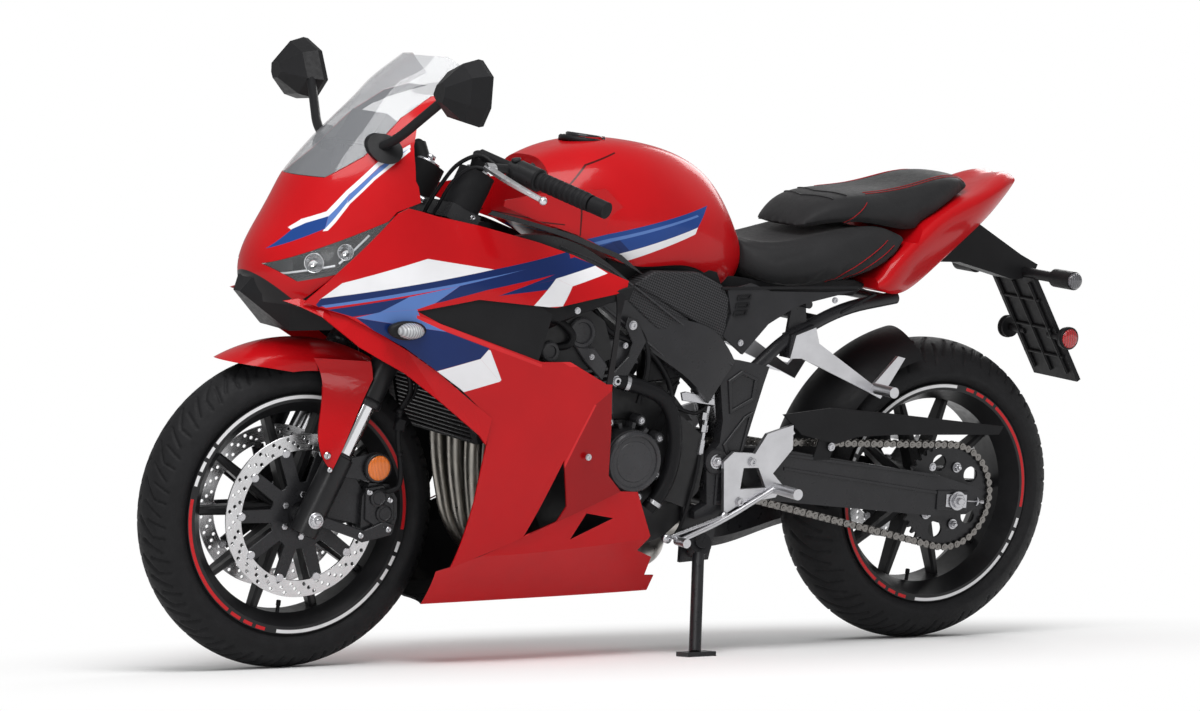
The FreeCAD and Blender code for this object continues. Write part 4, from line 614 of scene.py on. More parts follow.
def from_curve(lines, closed=False, **options):
    """The mesh that a curve makes along lines of places."""
    curve = bpy.data.curves.new("line", "CURVE")
    for word, value in options.items():
        setattr(curve, word, value)
    for line in lines:
        spline = curve.splines.new("POLY")
        spline.points.add(len(line) - 1)
        for point, place in zip(spline.points, line):
            point.co = (*place, 1)
        spline.use_cyclic_u = closed
    holder = bpy.data.objects.new("line", curve)
    mesh = bpy.data.meshes.new_from_object(holder)
    bpy.data.objects.remove(holder)
    bpy.data.curves.remove(curve)
    return mesh


def plate(outlines, thickness, bevel=0.0):
    """A flat plate in side view from outlines in x and z, holes among them, about y = 0."""
    mesh = from_curve([[(x, z, 0) for x, z in outline] for outline in outlines], True,
                      dimensions="2D", fill_mode="BOTH", extrude=thickness / 2 - bevel,
                      bevel_depth=bevel, bevel_resolution=0)
    mesh.transform(Matrix(((1, 0, 0, 0), (0, 0, -1, 0), (0, 1, 0, 0), (0, 0, 0, 1))))
    return mesh


def bar(outline, y0, y1, bevel=1.0, *holes):
    """A flat bar in side view between two planes across the machine."""
    return moved(plate([outline, *holes], abs(y1 - y0), bevel), (0, (y0 + y1) / 2, 0))


def rimmed(outline, y0, y1, width=5.0, bevel=0.8):
    """A raised rim along a closed outline."""
    middle = sum((Vector(p) for p in outline), Vector((0, 0))) / len(outline)
    away = [Vector(p) - middle for p in outline]
    inner = [tuple(middle + way * max(0.1, 1 - width / way.length)) for way in away]
    return bar(outline, y0, y1, bevel, inner)


def smooth_line(points, steps=8):
    """Places along a smooth curve through the given ones."""
    points = [Vector(p) for p in points]
    ends = [points[0] * 2 - points[1]] + points + [points[-1] * 2 - points[-2]]
    line = []
    for a, b, c, d in zip(ends, ends[1:], ends[2:], ends[3:]):
        for t in [i / steps for i in range(steps)]:
            line.append(0.5 * (2 * b + (c - a) * t + (2 * a - 5 * b + 4 * c - d) * t ** 2
                               + (3 * b - a - 3 * c + d) * t ** 3))
    return line + [points[-1]]


def tube(points, radius, steps=8, sides=2):
    """A round bar or hose along a smooth curve."""
    return from_curve([smooth_line(points, steps)], dimensions="3D", bevel_depth=radius,
                      bevel_resolution=sides, use_fill_caps=True)


def turned(profile, at, axis=OUT, count=28):
    """A turned piece from pairs of distance along its axis and radius."""
    turn = Vector(axis).to_track_quat("Z", "Y").to_matrix()
    points = [Vector(at) + turn @ Vector((x, y, along))
              for along, radius in profile for x, y in ring_points(radius, count)]
    caps = [tuple(range(count))[::-1], tuple(range(len(points) - count, len(points)))]
    return mesh_of(points, grid_faces(len(profile), count, wrap_columns=True) + caps)


def bolt(at, axis=OUT, radius=5.0, height=5.0):
    """A socket screw with its flange."""
    return turned([(-1, radius * 1.3), (height * 0.3, radius * 1.3), (height * 0.3, radius),
                   (height * 0.9, radius), (height, radius * 0.85), (height, radius * 0.5),
                   (height * 0.5, radius * 0.45)], at, axis, 12)


def bolts(y, radius, height, *places):
    return [bolt((x, y, z), OUT, radius, height) for x, z in places]


def nut(at, radius, height, axis=OUT):
    """A six-sided nut on its washer, with the end of its bolt."""
    return joined(turned([(-1, radius * 1.3), (2, radius * 1.3), (2, radius)], at, axis, 20),
                  turned([(1, radius), (height - 1.5, radius), (height, radius * 0.86),
                          (height, radius * 0.5)], at, axis, 6),
                  turned([(0, radius * 0.5), (height + 5, radius * 0.5),
                          (height + 6, radius * 0.4)], at, axis, 16))


# Where the rays that lay details on a surface start, for each way that they go
STARTS = {IN: lambda x, z: (x, -600, z), BACK: lambda y, z: (0, y, z),
          DOWN: lambda x, y: (x, y, 1500)}


def laid(tree, places, way, lift):
    """Places in side view, from ahead or from above, carried onto a surface."""
    found = []
    for place in places:
        hit, normal, _, _ = tree.ray_cast(Vector(STARTS[way](*place)), Vector(way))
        if hit:
            facing = -1 if normal.dot(Vector(way)) > 0 else 1
            found.append(hit + normal * facing * lift)
    return found


def surface(made):
    """The surface of an object, to lay details on."""
    return BVHTree.FromBMesh(shape_of(made.data))


# Front
def on_fork(along, side=-1):
    """A place on a fork leg, so far up from the axle."""
    return FRONT_AXLE + UP_FORK * along + Vector((0, side * 100, 0))


def fork_rings():
    """Rings on the fork's tubes and the reflectors with their brackets."""
    lamp_at = (125, -116, 397)
    rings = [turned([(0, 27.2), (2, radius), (length - 2, radius), (length, 27.2)],
                    on_fork(along), UP_FORK, 40)
             for along, radius, length in ((235, 29.5, 16), (322, 29.0, 24), (120, 26, 8))]
    rings += [turned([(0, 20), (0, 24.5), (5, 24.5), (8, 21)], on_fork(128), UP_FORK, 40),
              bar([(38, 384), (60, 412), (118, 424), (146, 412), (150, 388), (130, 370),
                   (84, 376)], -112, -117),
              turned([(0, 28), (8, 28), (12, 26.5), (12, 22)], lamp_at, OUT, 40)]
    pair("fork_rings", rings, "alloy_black", "steering", smooth=True)
    lens = turned([(6, 23.5), (12, 23.5), (14, 20), (15, 8), (15.4, 1)], lamp_at, OUT, 40)
    pair("fork_reflectors", [lens], "orange", "steering", smooth=True)


def calipers():
    """Covers of the calipers and the bolts round them."""
    parts = [bar([(111, 356), (144, 361), (167, 334), (170, 297), (143, 276), (113, 298)],
                 -105, -112, 2.0),
             bar([(6, 309), (93, 280), (108, 276), (150, 292), (168, 286), (163, 268),
                  (104, 256), (88, 264), (6, 292)], -111, -117, 1.5)]
    parts += [turned([(0, 17), (4, 16.5), (6, 13), (4.5, 11), (4.5, 1)], at)
              for at in ((134, -112, 338), (148, -112, 308))]
    pair("caliper_details", parts, "alloy_black", "steering")
    shiny = [*bolts(-112, 4.5, 5, (116, 349), (160, 333), (150, 283)),
             *bolts(-117, 4.5, 4, (100, 268), (158, 278)), nut((0, -125, 300), 12, 8),
             *bolts(-131, 5.5, 5, (13, 423)), *bolts(-131, 4.0, 3, (20, 396)),
             *bolts(-112, 4, 4, (125, 374)),
             *[bolt(on_fork(along) + Vector((16, -32, 0))) for along in (482, 633)]]
    pair("front_bolts", shiny, "steel", "steering", smooth=True)


def brake_hoses():
    """Hoses held along the fork, with their ends and clips."""
    hoses = [tube([(142, -104, 350), (158, -116, 352), (173, -120, 362), (174, -121, 392),
                   (167, -121, 435), (164, -120, 477), (169, -120, 509), (185, -120, 541),
                   (180, -116, 578), (164, -108, 612), (150, -100, 640)], 5.2),
             tube([(176, -112, 509), (198, -112, 535), (202, -112, 560), (196, -112, 590),
                   (180, -108, 630), (190, -100, 680)], 4.2),
             turned([(0, 8.5), (3, 9.5), (12, 9.5), (14, 7)], (142, -104, 344), (0.3, -0.2, 1)),
             bar([(158, 470), (172, 468), (176, 486), (162, 490)], -112, -128, 2)]
    hoses += [turned([(0, 6.4), (9, 6.4)], at, (0, 0, 1))
              for at in ((170, -121, 418), (165, -121, 500))]
    pair("brake_hoses", hoses, "hose", "steering", smooth=True)


def fork_clamps():
    """Clamps of the fork's yokes and the caps on its legs."""
    clamps = [turned([(0, 31), (3, 33), (20, 33), (23, 31)], on_fork(along), UP_FORK, 40)
              for along in (474, 622)]
    pair("fork_clamps", clamps, "alloy_black", "steering", smooth=True)
    caps = [turned([(0, 24), (6, 24), (8, 20), (8, 14)], on_fork(724), UP_FORK, 30),
            turned([(0, 10), (12, 10), (13, 8)], on_fork(731), UP_FORK, 6)]
    pair("fork_caps", caps, "steel", "steering", smooth=True)


def wheel_details():
    """Valves, the sprocket's nuts and the front hub's rings."""
    for word, centre, side in (("front", FRONT_AXLE, -20), ("rear", REAR_AXLE, -22)):
        way = Vector((-0.09, 0, -1)).normalized()
        stem = turned([(0, 7), (3, 7), (4, 4), (26, 3.6), (27, 4.6), (36, 4.6), (37, 3)],
                      centre + way * 206 + Vector((0, side, 0)), -way, 14)
        piece(word + "_valve", stem, "hose", word + "_wheel", smooth=True)
    nuts = [nut(REAR_AXLE + Vector((x, -118, z)), 8, 8) for x, z in ring_points(62, 5)]
    piece("sprocket_nuts", nuts, "steel", "rear_wheel")
    hub = turned([(0, 34), (6, 34), (9, 30), (9, 24), (6, 22)], (0, -40, 300), OUT, 40)
    pair("front_hub_ring", [hub], "alloy_black", "front_wheel", smooth=True)


# Chain and drive
def chain_pins():
    """Places of the pins round the closed chain, a pitch apart."""
    first, last = Vector((790, 400)), Vector((1450, 315))
    small, large = 38.2, 106.2
    run = last - first
    tilt = math.atan2(run.y, run.x)
    opening = math.acos((small - large) / run.length)
    up, down = tilt + opening, tilt - opening
    straight = math.sqrt(run.length ** 2 - (large - small) ** 2)

    def on(centre, radius, angle):
        return centre + Vector((math.cos(angle), math.sin(angle))) * radius

    # The upper run, the sprocket, the lower run and the gearbox pinion
    parts = [(straight, lambda s: on(first, small, up).lerp(on(last, large, up), s / straight)),
             (large * 2 * opening, lambda s: on(last, large, up - s / large)),
             (straight, lambda s: on(last, large, down).lerp(on(first, small, down),
                                                             s / straight)),
             (small * (ROUND - 2 * opening), lambda s: on(first, small, down - s / small))]
    total = sum(length for length, _ in parts)
    number = round(total / CHAIN_PITCH / 2) * 2
    pins = []
    for i in range(number):
        way, k = total * i / number, 0
        while k < 3 and way >= parts[k][0]:
            way, k = way - parts[k][0], k + 1
        pins.append(parts[k][1](way))
    return pins


def link_outline(a, b, radius, waist):
    """Outline of a side plate between two pins, waisted in the middle."""
    run = (b - a).normalized()
    across = Vector((-run.y, run.x))
    outline = []
    for centre, turn in ((a, 1), (b, -1)):
        for angle in [math.radians(75 + 35 * i) for i in range(7)]:
            outline.append(centre + turn * (run * math.cos(angle) + across * math.sin(angle))
                           * radius)
        outline.append((a + b) / 2 - turn * across * waist)
    return [tuple(p) for p in outline]


def chain():
    """Links, wide and narrow in turn, on the line of the solid chain."""
    pins = chain_pins()
    plates, rods = [], []
    for i, (a, b) in enumerate(zip(pins, pins[1:] + pins[:1])):
        reach, radius = (9.2, 7.0) if i % 2 else (6.6, 7.6)
        for y in (CHAIN_Y - reach, CHAIN_Y + reach):
            plates.append(moved(plate([link_outline(a, b, radius, radius * 0.42)], 1.9),
                                (0, y, 0)))
        rods += [turned(profile, (a.x, CHAIN_Y, a.y), OUT, 10)
                 for profile in ([(-11, 3.0), (11, 3.0), (11.6, 2.2)], [(-5.4, 5.1), (5.4, 5.1)])]
    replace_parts(piece("chain_links", plates + rods, "chain"), "chain")


def drive_details():
    """Ribs and adjusters of the swingarm, frame bolts, shift rod and step slots."""
    raised = [bar([(1023, 386), (1401, 330), (1401, 325), (1023, 381)], -146, -149.5, 0.8),
              bar([(1023, 414), (1401, 365), (1401, 360), (1023, 409)], -146, -149.5, 0.8),
              bar([(1404, 331), (1478, 328), (1478, 290), (1404, 294)], -147, -152, 1.5)]
    pair("swingarm_ribs", raised, "black_metal")
    adjusters = [bar([(1424, 324), (1474, 322), (1474, 296), (1424, 299)], -152, -154.5, 0.8),
                 tube([(1474, -143, 309), (1500, -143, 307), (1524, -143, 305)], 4.5, 1),
                 nut((1449, -157, 311), 15, 9), nut((1504, -143, 307), 8, 7, (1, 0, -0.06))]
    pair("axle_adjusters", adjusters, "steel")
    shiny = [*bolts(-155, 6.5, 4, (1128, 427), (1381, 382)),
             *bolts(-182, 7.5, 6, (923, 404), (900, 325)), nut((851, -164, 403), 11, 6)]
    piece("chassis_bolts", shiny, "steel")
    line = [(733, -186, 257), (790, -187, 275), (863, -187, 298)]
    rod = [tube(line, 4.6, 3)] + [turned([(-6, 9), (6, 9)], at, OUT, 20) for at in line[::2]]
    piece("shift_rod", rod, "steel", smooth=True)
    slot = rimmed([(985, 446), (993, 438), (1026, 458), (1020, 466)], -171, -173.5, 3)
    pair("step_slots", [slot], "silver")


# Engine
def engine_covers():
    """Covers, bosses and bolts on the engine's left side."""
    covers = [turned([(-4, 61), (3, 60), (7, 57), (8, 53), (6, 50), (3, 49), (3, 40), (4, 39),
                      (4, 1)], (642, -194, 411), OUT, 56)]
    for a in [ROUND * i / 14 for i in range(14)]:
        corners = [(62, a), (73, a), (73, a + 0.10), (62, a + 0.10)]
        covers.append(bar([(642 + r * math.cos(t), 411 + r * math.sin(t)) for r, t in corners],
                          -140, -168, 0.5))
    rim = [(601, 483), (672, 486), (717, 451), (713, 380), (676, 336), (604, 338), (568, 392),
           (572, 440)]
    covers += [turned([(0, 13), (22, 11), (25, 9)], (x, -140, z), OUT, 20) for x, z in rim]
    covers += [turned([(-6, 30), (6, 30), (9, 27), (9, 21), (5, 19), (5, 1)], (522, -165, 658),
                      OUT, 40),
               turned([(-6, 20), (6, 20), (8, 17), (8, 12), (5, 11), (5, 1)], (455, -165, 622),
                      OUT, 32),
               bar([(512, 630), (552, 626), (580, 595), (572, 568), (534, 603)], -160, -173, 2),
               bar([(470, 596), (506, 600), (520, 560), (480, 548)], -160, -170, 2),
               bar([(585, 640), (640, 650), (655, 600), (600, 590)], -150, -164, 3),
               bar([(560, 540), (600, 545), (604, 500), (566, 496)], -150, -168, 3)]
    covers += [bar([(440, z), (585, z + 14), (585, z + 18), (440, z + 4)], -158, -170, 1)
               for z in range(520, 585, 13)]
    piece("engine_covers", covers, "engine_cover")
    shiny = [*bolts(-164, 5, 5, *rim), *bolts(-172, 4.5, 4, (546, 612), (486, 560), (620, 634)),
             *bolts(-229, 5, 3, (519, 427)), *bolts(-233, 5, 3, (472, 708))]
    piece("engine_bolts", shiny, "steel")


def engine_hoses():
    """Water hose, small pipes and the hanger beside them."""
    hoses = [tube([(600, -168, 566), (632, -176, 560), (666, -180, 551), (704, -182, 534),
                   (728, -182, 503), (738, -182, 468), (742, -178, 430), (738, -174, 386),
                   (722, -170, 345), (700, -162, 312)], 15, 8, 4),
             tube([(450, -160, 684), (470, -172, 680), (498, -174, 656), (494, -172, 636),
                   (472, -166, 630)], 7.5),
             tube([(560, -150, 700), (590, -160, 660), (640, -166, 640), (690, -160, 615),
                   (736, -152, 560), (750, -150, 500)], 6),
             tube([(640, -150, 690), (668, -166, 640), (676, -168, 590), (660, -166, 520)], 5),
             bar([(688, 648), (778, 634), (778, 572), (688, 562)], -112, -150, 4),
             bar([(700, 638), (768, 628), (768, 602), (700, 606)], -149, -154, 2)]
    piece("engine_hoses", hoses, "hose", smooth=True)
    hanger = bar([(620, 688), (640, 684), (662, 642), (640, 600), (616, 560), (600, 552),
                  (588, 562), (594, 580), (626, 612), (634, 640), (616, 670)], -172, -178, 1.5)
    piece("engine_hanger", hanger, "alloy_black")


def clutch():
    """Arm, rod and cable of the clutch."""
    fall = (-0.12, 0, -1)
    arm = [bar([(766, 538), (776, 540), (842, 526), (844, 514), (818, 517), (770, 524)],
               -150, -155, 1),
           tube([(826, -160, 513), (820, -160, 471), (814, -160, 424)], 4.2, 3),
           turned([(0, 7), (26, 7), (30, 4)], (817, -160, 446), fall, 16),
           *[turned([(0, 8), (14, 8), (15, 6)], (820, -160, z), fall, 6) for z in (500, 476)],
           bolt((601, -178, 566), OUT, 8, 7), bolt((630, -178, 674), OUT, 7, 6),
           turned([(0, 16.5), (8, 16.5)], (622, -174, 562), (12, -2, -3), 24),
           turned([(0, 16.5), (8, 16.5)], (709, -166, 322), (7, -2, 12), 24)]
    piece("clutch_arm", arm, "steel")
    cables = [tube([(814, -160, 424), (806, -165, 380), (794, -165, 332), (782, -158, 278),
                    (770, -150, 250)], 4),
              tube([(760, -150, 560), (733, -152, 532), (754, -152, 512), (801, -152, 498),
                    (826, -160, 513)], 4)]
    piece("clutch_cable", cables, "hose", smooth=True)


def frame_rims():
    """Rims round the windows of the frame's pivot plates."""
    rims = [rimmed(outline, -160, -165, 6, 1.2) for outline in (
        [(898, 582), (935, 567), (930, 524), (877, 499), (868, 563)],
        [(912, 491), (927, 499), (905, 402), (883, 396), (866, 436)],
        [(855, 377), (890, 387), (884, 318), (854, 318)])]
    rims.append(turned([(-4, 26), (5, 25), (7, 22), (7, 16), (4, 15), (4, 1)],
                       (851, -160, 403), OUT, 36))
    pair("frame_rims", rims, "black_metal")


def radiator_slats():
    """Slats across the radiator's curved front."""
    core = surface(NODES["radiator"])
    rows = [laid(core, [(y, z) for y in (-142, 0, 142)], BACK, 3) for z in range(450, 642, 8)]
    slats = [tube(row, 2.0, 1, 1) for row in rows if len(row) == 3]
    piece("radiator_slats", slats, "engine_cover", slot="alloy_black")


# Body panels
def side_trim():
    """Duct arms, knee pads, strips, slots and bolts on the flanks."""
    arm = bar([(368, 722), (423, 716), (499, 730), (566, 742), (606, 752), (598, 730),
               (554, 722), (446, 686), (382, 690), (330, 680)], -206, -214, 2)
    pair("duct_arms", [arm], "black_plastic")
    pads = [bar([(640, 752), (666, 768), (681, 775), (779, 773), (834, 748), (850, 724),
                 (846, 652), (834, 644), (764, 690), (690, 728)], -124, -170, 3),
            bar([(614, 730), (650, 752), (690, 724), (762, 684), (760, 660), (695, 668)],
                -158, -166, 3)]
    pair("knee_pads", pads, "woven")
    strip = bar([(300, 882), (400, 860), (473, 840), (582, 804), (645, 773), (597, 808),
                 (487, 846), (400, 868), (309, 888)], -176, -172, 0.5)
    pair("spar_strips", [strip], "alloy_black")
    slots = [rimmed([(x - 8, z - 5), (x + 22, z - 2), (x + 24, z + 6), (x - 6, z + 4)],
                    -172, -175.5, 3, 0.6) for x, z in ((876, 728), (873, 712), (869, 697))]
    slots.append(bar([(832, 744), (1150, 748), (1196, 738), (1120, 702), (1118, 698),
                      (1200, 736), (1152, 752), (832, 748)], -166, -174, 0.5))
    pair("cover_slots", slots, "black_plastic")
    pair("cover_bolts", bolts(-172, 5, 4, (883, 639), (1100, 724)), "steel")


def tank_cap():
    """Ring, lid and screws of the tank's cap."""
    cap_at, cap_up = Vector((600, 0, 1016)), (0.10, 0, 1)
    cap = turned([(-6, 50), (2, 50), (5, 47), (5, 40), (4, 39)], cap_at, cap_up, 56)
    piece("cap_ring", cap, "black_plastic", smooth=True)
    lid = [turned([(0, 37), (10, 37), (12, 34), (12, 16), (10, 15), (10, 1)], cap_at, cap_up, 48)]
    lid += [bolt(cap_at + Vector((x, y, 4)), cap_up, 3.2, 4) for x, y in ring_points(43.5, 6)]
    piece("cap_lid", lid, "alloy_black", smooth=True)


def signals():
    """Oval bases and ribbed lenses of the front signals."""
    for side, word in ((-1, "left"), (1, "right")):
        for name, look, middle, wide, profile in (
                ("base", "black_plastic", 118, 2.15,
                 [(0, 14), (14, 17), (24, 18), (28, 15), (29, 12)]),
                ("lens", "clear_ribs", 121, 1.75,
                 [(22, 15.5), (34, 15), (48, 11), (54, 5), (56, 1)])):
            mesh = turned(profile, (middle, side * 198, 668), (0, side, 0), 32)
            there = Matrix.Translation((middle, 0, 668))
            mesh.transform(there @ Matrix.Scale(wide, 4, BACK) @ there.inverted())
            made = piece("signal_%s_%s" % (name, word), mesh, look, smooth=True)
            if name == "base":
                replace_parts(made, "signal_front_" + word)


def undersides():
    """Chin under the nose, pan under the seats and ridges on the spars, whose lighter grey is a
    painted highlight along the spars' edges.
    """
    chin = bmesh.new()
    for x, z, half in ((-128, 716, 14), (-112, 744, 30), (-60, 712, 88), (-46, 648, 62),
                       (30, 652, 84), (58, 700, 112), (40, 740, 116)):
        for y in (-half, half):
            chin.verts.new((x, y, z))
    bmesh.ops.convex_hull(chin, input=chin.verts)
    piece("nose_chin", as_mesh(chin), "black_plastic")
    pan = bar([(838, 752), (846, 786), (870, 764), (960, 754), (1190, 757), (1216, 748),
               (1190, 728), (1000, 730), (860, 728)], -104, 104, 2)
    skirts = bar([(588, 806), (640, 802), (760, 792), (846, 772), (862, 738), (700, 742),
                  (608, 768)], -122, -128)
    piece("seat_pan", [pan, both(skirts)], "black_plastic")
    # Raised ridges along the spars' edges, in the engine covers' lighter grey as a painted
    # highlight
    ridges = [tube(points, 2.2, 6, 1) for points in (
        [(470, -158, 822), (577, -167, 781), (740, -169, 680), (872, -166, 594)],
        [(543, -165, 727), (700, -168, 620), (828, -165, 526)])]
    pair("spar_ridge_highlights", ridges, "engine_cover", slot="black_metal", smooth=True)


def cockpit():
    """Display with its frame, and the key lock."""
    turn = Matrix.Translation((122, 0, 1023)) @ Matrix.Rotation(math.radians(32), 4, "Y")
    rim = rimmed([(-66, -30), (66, -30), (72, 0), (62, 32), (-62, 32), (-72, 0)], -3, 3, 9)
    screen = plate([[(-58, -24), (58, -24), (62, 0), (54, 25), (-54, 25), (-62, 0)]], 2)
    for name, mesh, look, out in (("display_frame", rim, "black_plastic", 15),
                                  ("display", screen, "display", 14)):
        mesh.transform(turn @ Matrix.Translation((out, 0, 0))
                       @ Matrix.Rotation(math.radians(-90), 4, "Z"))
        piece(name, mesh, look)
    lock = turned([(0, 20), (10, 20), (12, 17), (12, 8), (9, 7)],
                  on_fork(648, 0) + Vector((-30, 0, 0)), UP_FORK, 32)
    piece("key_lock", lock, "steel", "steering", smooth=True)


def bar_details():
    """Cables, grip rings and switches on the handlebars."""
    lines, rings, knobs = [], [], []
    for side in (-1, 1):
        for radius, places in (
                (4, ((306, 176, 976), (286, 150, 990), (258, 120, 970), (238, 96, 930),
                     (214, 84, 880), (196, 78, 820))),
                (3.4, ((300, 190, 962), (270, 160, 968), (244, 132, 940), (226, 110, 890),
                       (206, 96, 840)))):
            lines.append(tube([(x, side * y, z) for x, y, z in places], radius))
        start, end = Vector((303, side * 125, 990)), Vector((410, side * 372, 920))
        way = (end - start).normalized()
        first, box = end - way * 131, start + way * 92
        rings += [turned([(0, 16.4), (1.5, 17.4), (8.5, 17.4), (10, 16.4)],
                         first + way * i * 13, way) for i in range(9)]
        rings.append(turned([(-6, 17), (-5, 22), (-1, 22), (0, 17)], first, way))
        knobs += [turned([(18, 6), (27, 6), (28, 4)], box + way * shift, lift, 14)
                  for shift, lift in ((-12, (0.9, 0, 0.4)), (4, BACK), (14, (0.8, 0, 0.6)))]
        knobs.append(turned([(18, 9), (24, 9), (25, 7)], box, (-0.2, 0, 1), 14))
    piece("bar_cables", lines, "hose", "steering", smooth=True)
    piece("grip_rings", rings, "rubber", "steering", smooth=True)
    piece("switch_knobs", knobs, "grey_plastic", "steering", smooth=True)


def fairing_lips():
    """The red border along the front of the side panels, turned out a little."""
    inner = [(-60, -124, 716), (-44, -130, 711), (-20, -146, 706), (27, -170, 688),
             (60, -182, 670), (92, -191, 650), (128, -199, 630), (190, -211, 590),
             (262, -222, 534), (304, -226, 504)]
    outer = [(-87, -113, 710), (-63, -133, 702), (-27, -156, 685), (7, -171, 658),
             (40, -183, 632), (82, -195, 609), (126, -204, 586), (198, -214, 534),
             (281, -222, 471), (294, -224, 454)]
    points = [(x, y - out, z) for row, out in ((inner, 2.5), (outer, 4.0), (outer, -1.5),
                                               (inner, -3.0)) for x, y, z in row]
    long = len(inner)
    faces = grid_faces(4, long, wrap_rows=True)
    faces += [tuple(range(0, 4 * long, long)), tuple(range(long - 1, 4 * long, long))[::-1]]
    pair("fairing_lips", [mesh_of(points, faces)], "red")


def fender():
    """The front mudguard with the back of its legs trimmed to show the bright fork tubes."""
    made = piece("fender_shell", NODES["front_fender"].data.copy(), "fender_red", "steering",
                 change=BIKE.inverted())
    tool = placed("cutter", both(bar([(106, 580), (98, 562), (46, 436), (18, 380), (20, 340),
                                      (200, 340), (200, 580)], -92, -180, 0)))
    trim = made.modifiers.new("trim", "BOOLEAN")
    trim.operation = "DIFFERENCE"
    trim.object = tool
    bake(made)
    bpy.data.objects.remove(tool)
    made.data.transform(BIKE)
    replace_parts(made, "front_fender")


def seat_details(front, rear):
    """Seams, red stitching and the strap band, laid on the finished cushions."""
    low, high = surface(front), surface(rear)
    threads, welts = [], []
    for tree, way, run in (
            (low, IN, [(1091, 748), (1178, 805), (1240, 842)]),
            (low, IN, [(1120, 746), (1192, 793), (1255, 832)]),
            (high, DOWN, [(1210, -92), (1298, -90), (1387, -86), (1476, -76)]),
            (high, DOWN, [(1210, -82), (1298, -80), (1387, -76), (1470, -66)]),
            (high, IN, [(1150, 868), (1180, 895), (1200, 915)])):
        line = smooth_line([(*p, 0) for p in run], 14)
        places = laid(tree, [(p.x, p.y) for p in line], way, 0.5)
        if len(places) > 4:
            threads.append(both(tube(places, 0.75, 1, 0)))
            welts.append(both(tube([p + Vector((0, 0, -3)) for p in places], 1.3, 1, 1)))
    for x in (1118, 1150):
        places = laid(high, [(x + abs(y) * 0.2, y) for y in range(-88, 89, 8)], DOWN, 0.3)
        if len(places) > 3:
            welts.append(tube(places, 2.0, 2, 1))
    piece("seat_welts", welts, "seam", smooth=True)
    piece("seat_threads", threads, "thread", smooth=True)


def lamp_details():
    """Dark housings round the lamps, their bowls and the light guides."""
    inside = shape_of(NODES["headlight"].data)
    bmesh.ops.remove_doubles(inside, verts=inside.verts, dist=0.01)
    bmesh.ops.recalc_face_normals(inside, faces=inside.faces)
    inside.normal_update()
    outer = []
    for face in inside.faces:
        middle = face.calc_center_median()
        away = middle - Vector((220, 0, 850))
        away.z *= 0.3
        if face.normal.dot(away.normalized()) > 0.45 and abs(middle.y) > 28:
            outer.append(face)
    bmesh.ops.delete(inside, geom=outer, context="FACES")
    for vertex in inside.verts:
        vertex.co += vertex.normal * 0.6
    tree = BVHTree.FromBMesh(inside)
    piece("lamp_housing", as_mesh(inside), "hose")
    way = Vector((-0.62, -0.77, 0.0)).normalized()
    bowls = []
    for place, radius in (((-17, 780), 17), ((34, 803), 14)):
        profile = [(0, radius * 0.3), (2, radius * 0.6), (6, radius * 0.88), (12, radius),
                   (13, radius * 1.08), (12, radius * 1.12)]
        bowls += [turned(profile, hit + way * 2, way, 32) for hit in laid(tree, [place], IN, 0)]
    pair("lamp_bowls", bowls, "bowl", smooth=True)
    guides = []
    for start, end, radius in (((-96, 772), (100, 864), 3.4), ((-74, 752), (14, 776), 2.0),
                               ((20, 780), (72, 834), 2.0)):
        places = laid(tree, np.linspace(start, end, 9).tolist(), IN, 7)
        if len(places) > 3:
            guides.append(tube(places, radius, 3))
    pair("lamp_guides", guides, "glow", smooth=True)


def mirror_glass():
    """Glass of the mirrors, on the faces that look back."""
    for side in ("left", "right"):
        whole = shape_of(NODES["mirror_" + side].data)
        whole.normal_update()
        away = [f for f in whole.faces
                if f.normal.x < 0.75 or f.calc_center_median().z < 1085 or f.calc_area() < 60]
        bmesh.ops.delete(whole, geom=away, context="FACES")
        middle = sum((v.co for v in whole.verts), Vector()) / len(whole.verts)
        for vertex in whole.verts:
            vertex.co = middle + (vertex.co - middle) * 0.9 + Vector((1.2, 0, 0))
        piece("mirror_glass_" + side, as_mesh(whole), "mirror")


def rear_details():
    """Reflectors, ribs of the plate holder and the rear signals' lenses."""
    at = (1742, -106, 640)
    rims = turned([(-4, 24), (3, 24), (6, 21)], at, OUT, 36)
    pair("reflector_rims", [rims], "black_plastic", smooth=True)
    lens = turned([(2, 20), (6, 20), (9, 16), (10, 8), (10.4, 1)], at, OUT, 36)
    pair("plate_reflectors", [lens], "red_lens", smooth=True)
    down = Vector((math.sin(math.radians(-32)), 0, math.cos(math.radians(-32))))
    ribs = [tube([Vector((1726, y, 655)) + down * t for t in (-112, 0, 112)], 4, 2, 1)
            for y in (-56, 0, 56)]
    ribs += [tube([Vector((1726, y, 655)) + down * t for y in (-66, 0, 66)], 3.4, 2, 1)
             for t in (-70, 0, 70)]
    piece("plate_ribs", ribs, "black_plastic", smooth=True)
    lens = turned([(-2, 17), (6, 17), (10, 13), (11.5, 6), (12, 1)], (1672, -198, 770))
    pair("rear_signal_lenses", [lens], "smoke_ribs", smooth=True)


# Wheels
def groove_depth(across, around, pitch, lines, width=5.0, depth=3.6):
    """Depth of the tread grooves at points given by their distance across and around."""
    nearest = np.full(across.shape, 1e9)
    away = np.abs(across)
    around = np.mod(around + np.where(across > 0, pitch / 2, 0), pitch)
    for (u1, a1), (u2, a2) in lines:
        for shift in (-2, -1, 0, 1, 2):
            px, py = away - u1, around - (a1 + shift) * pitch
            dx, dy = u2 - u1, (a2 - a1) * pitch
            share = np.clip((px * dx + py * dy) / (dx * dx + dy * dy), 0, 1)
            nearest = np.minimum(nearest, np.hypot(px - share * dx, py - share * dy))
    return depth * np.clip((width / 2 + 0.9 - nearest) / 1.8, 0, 1)


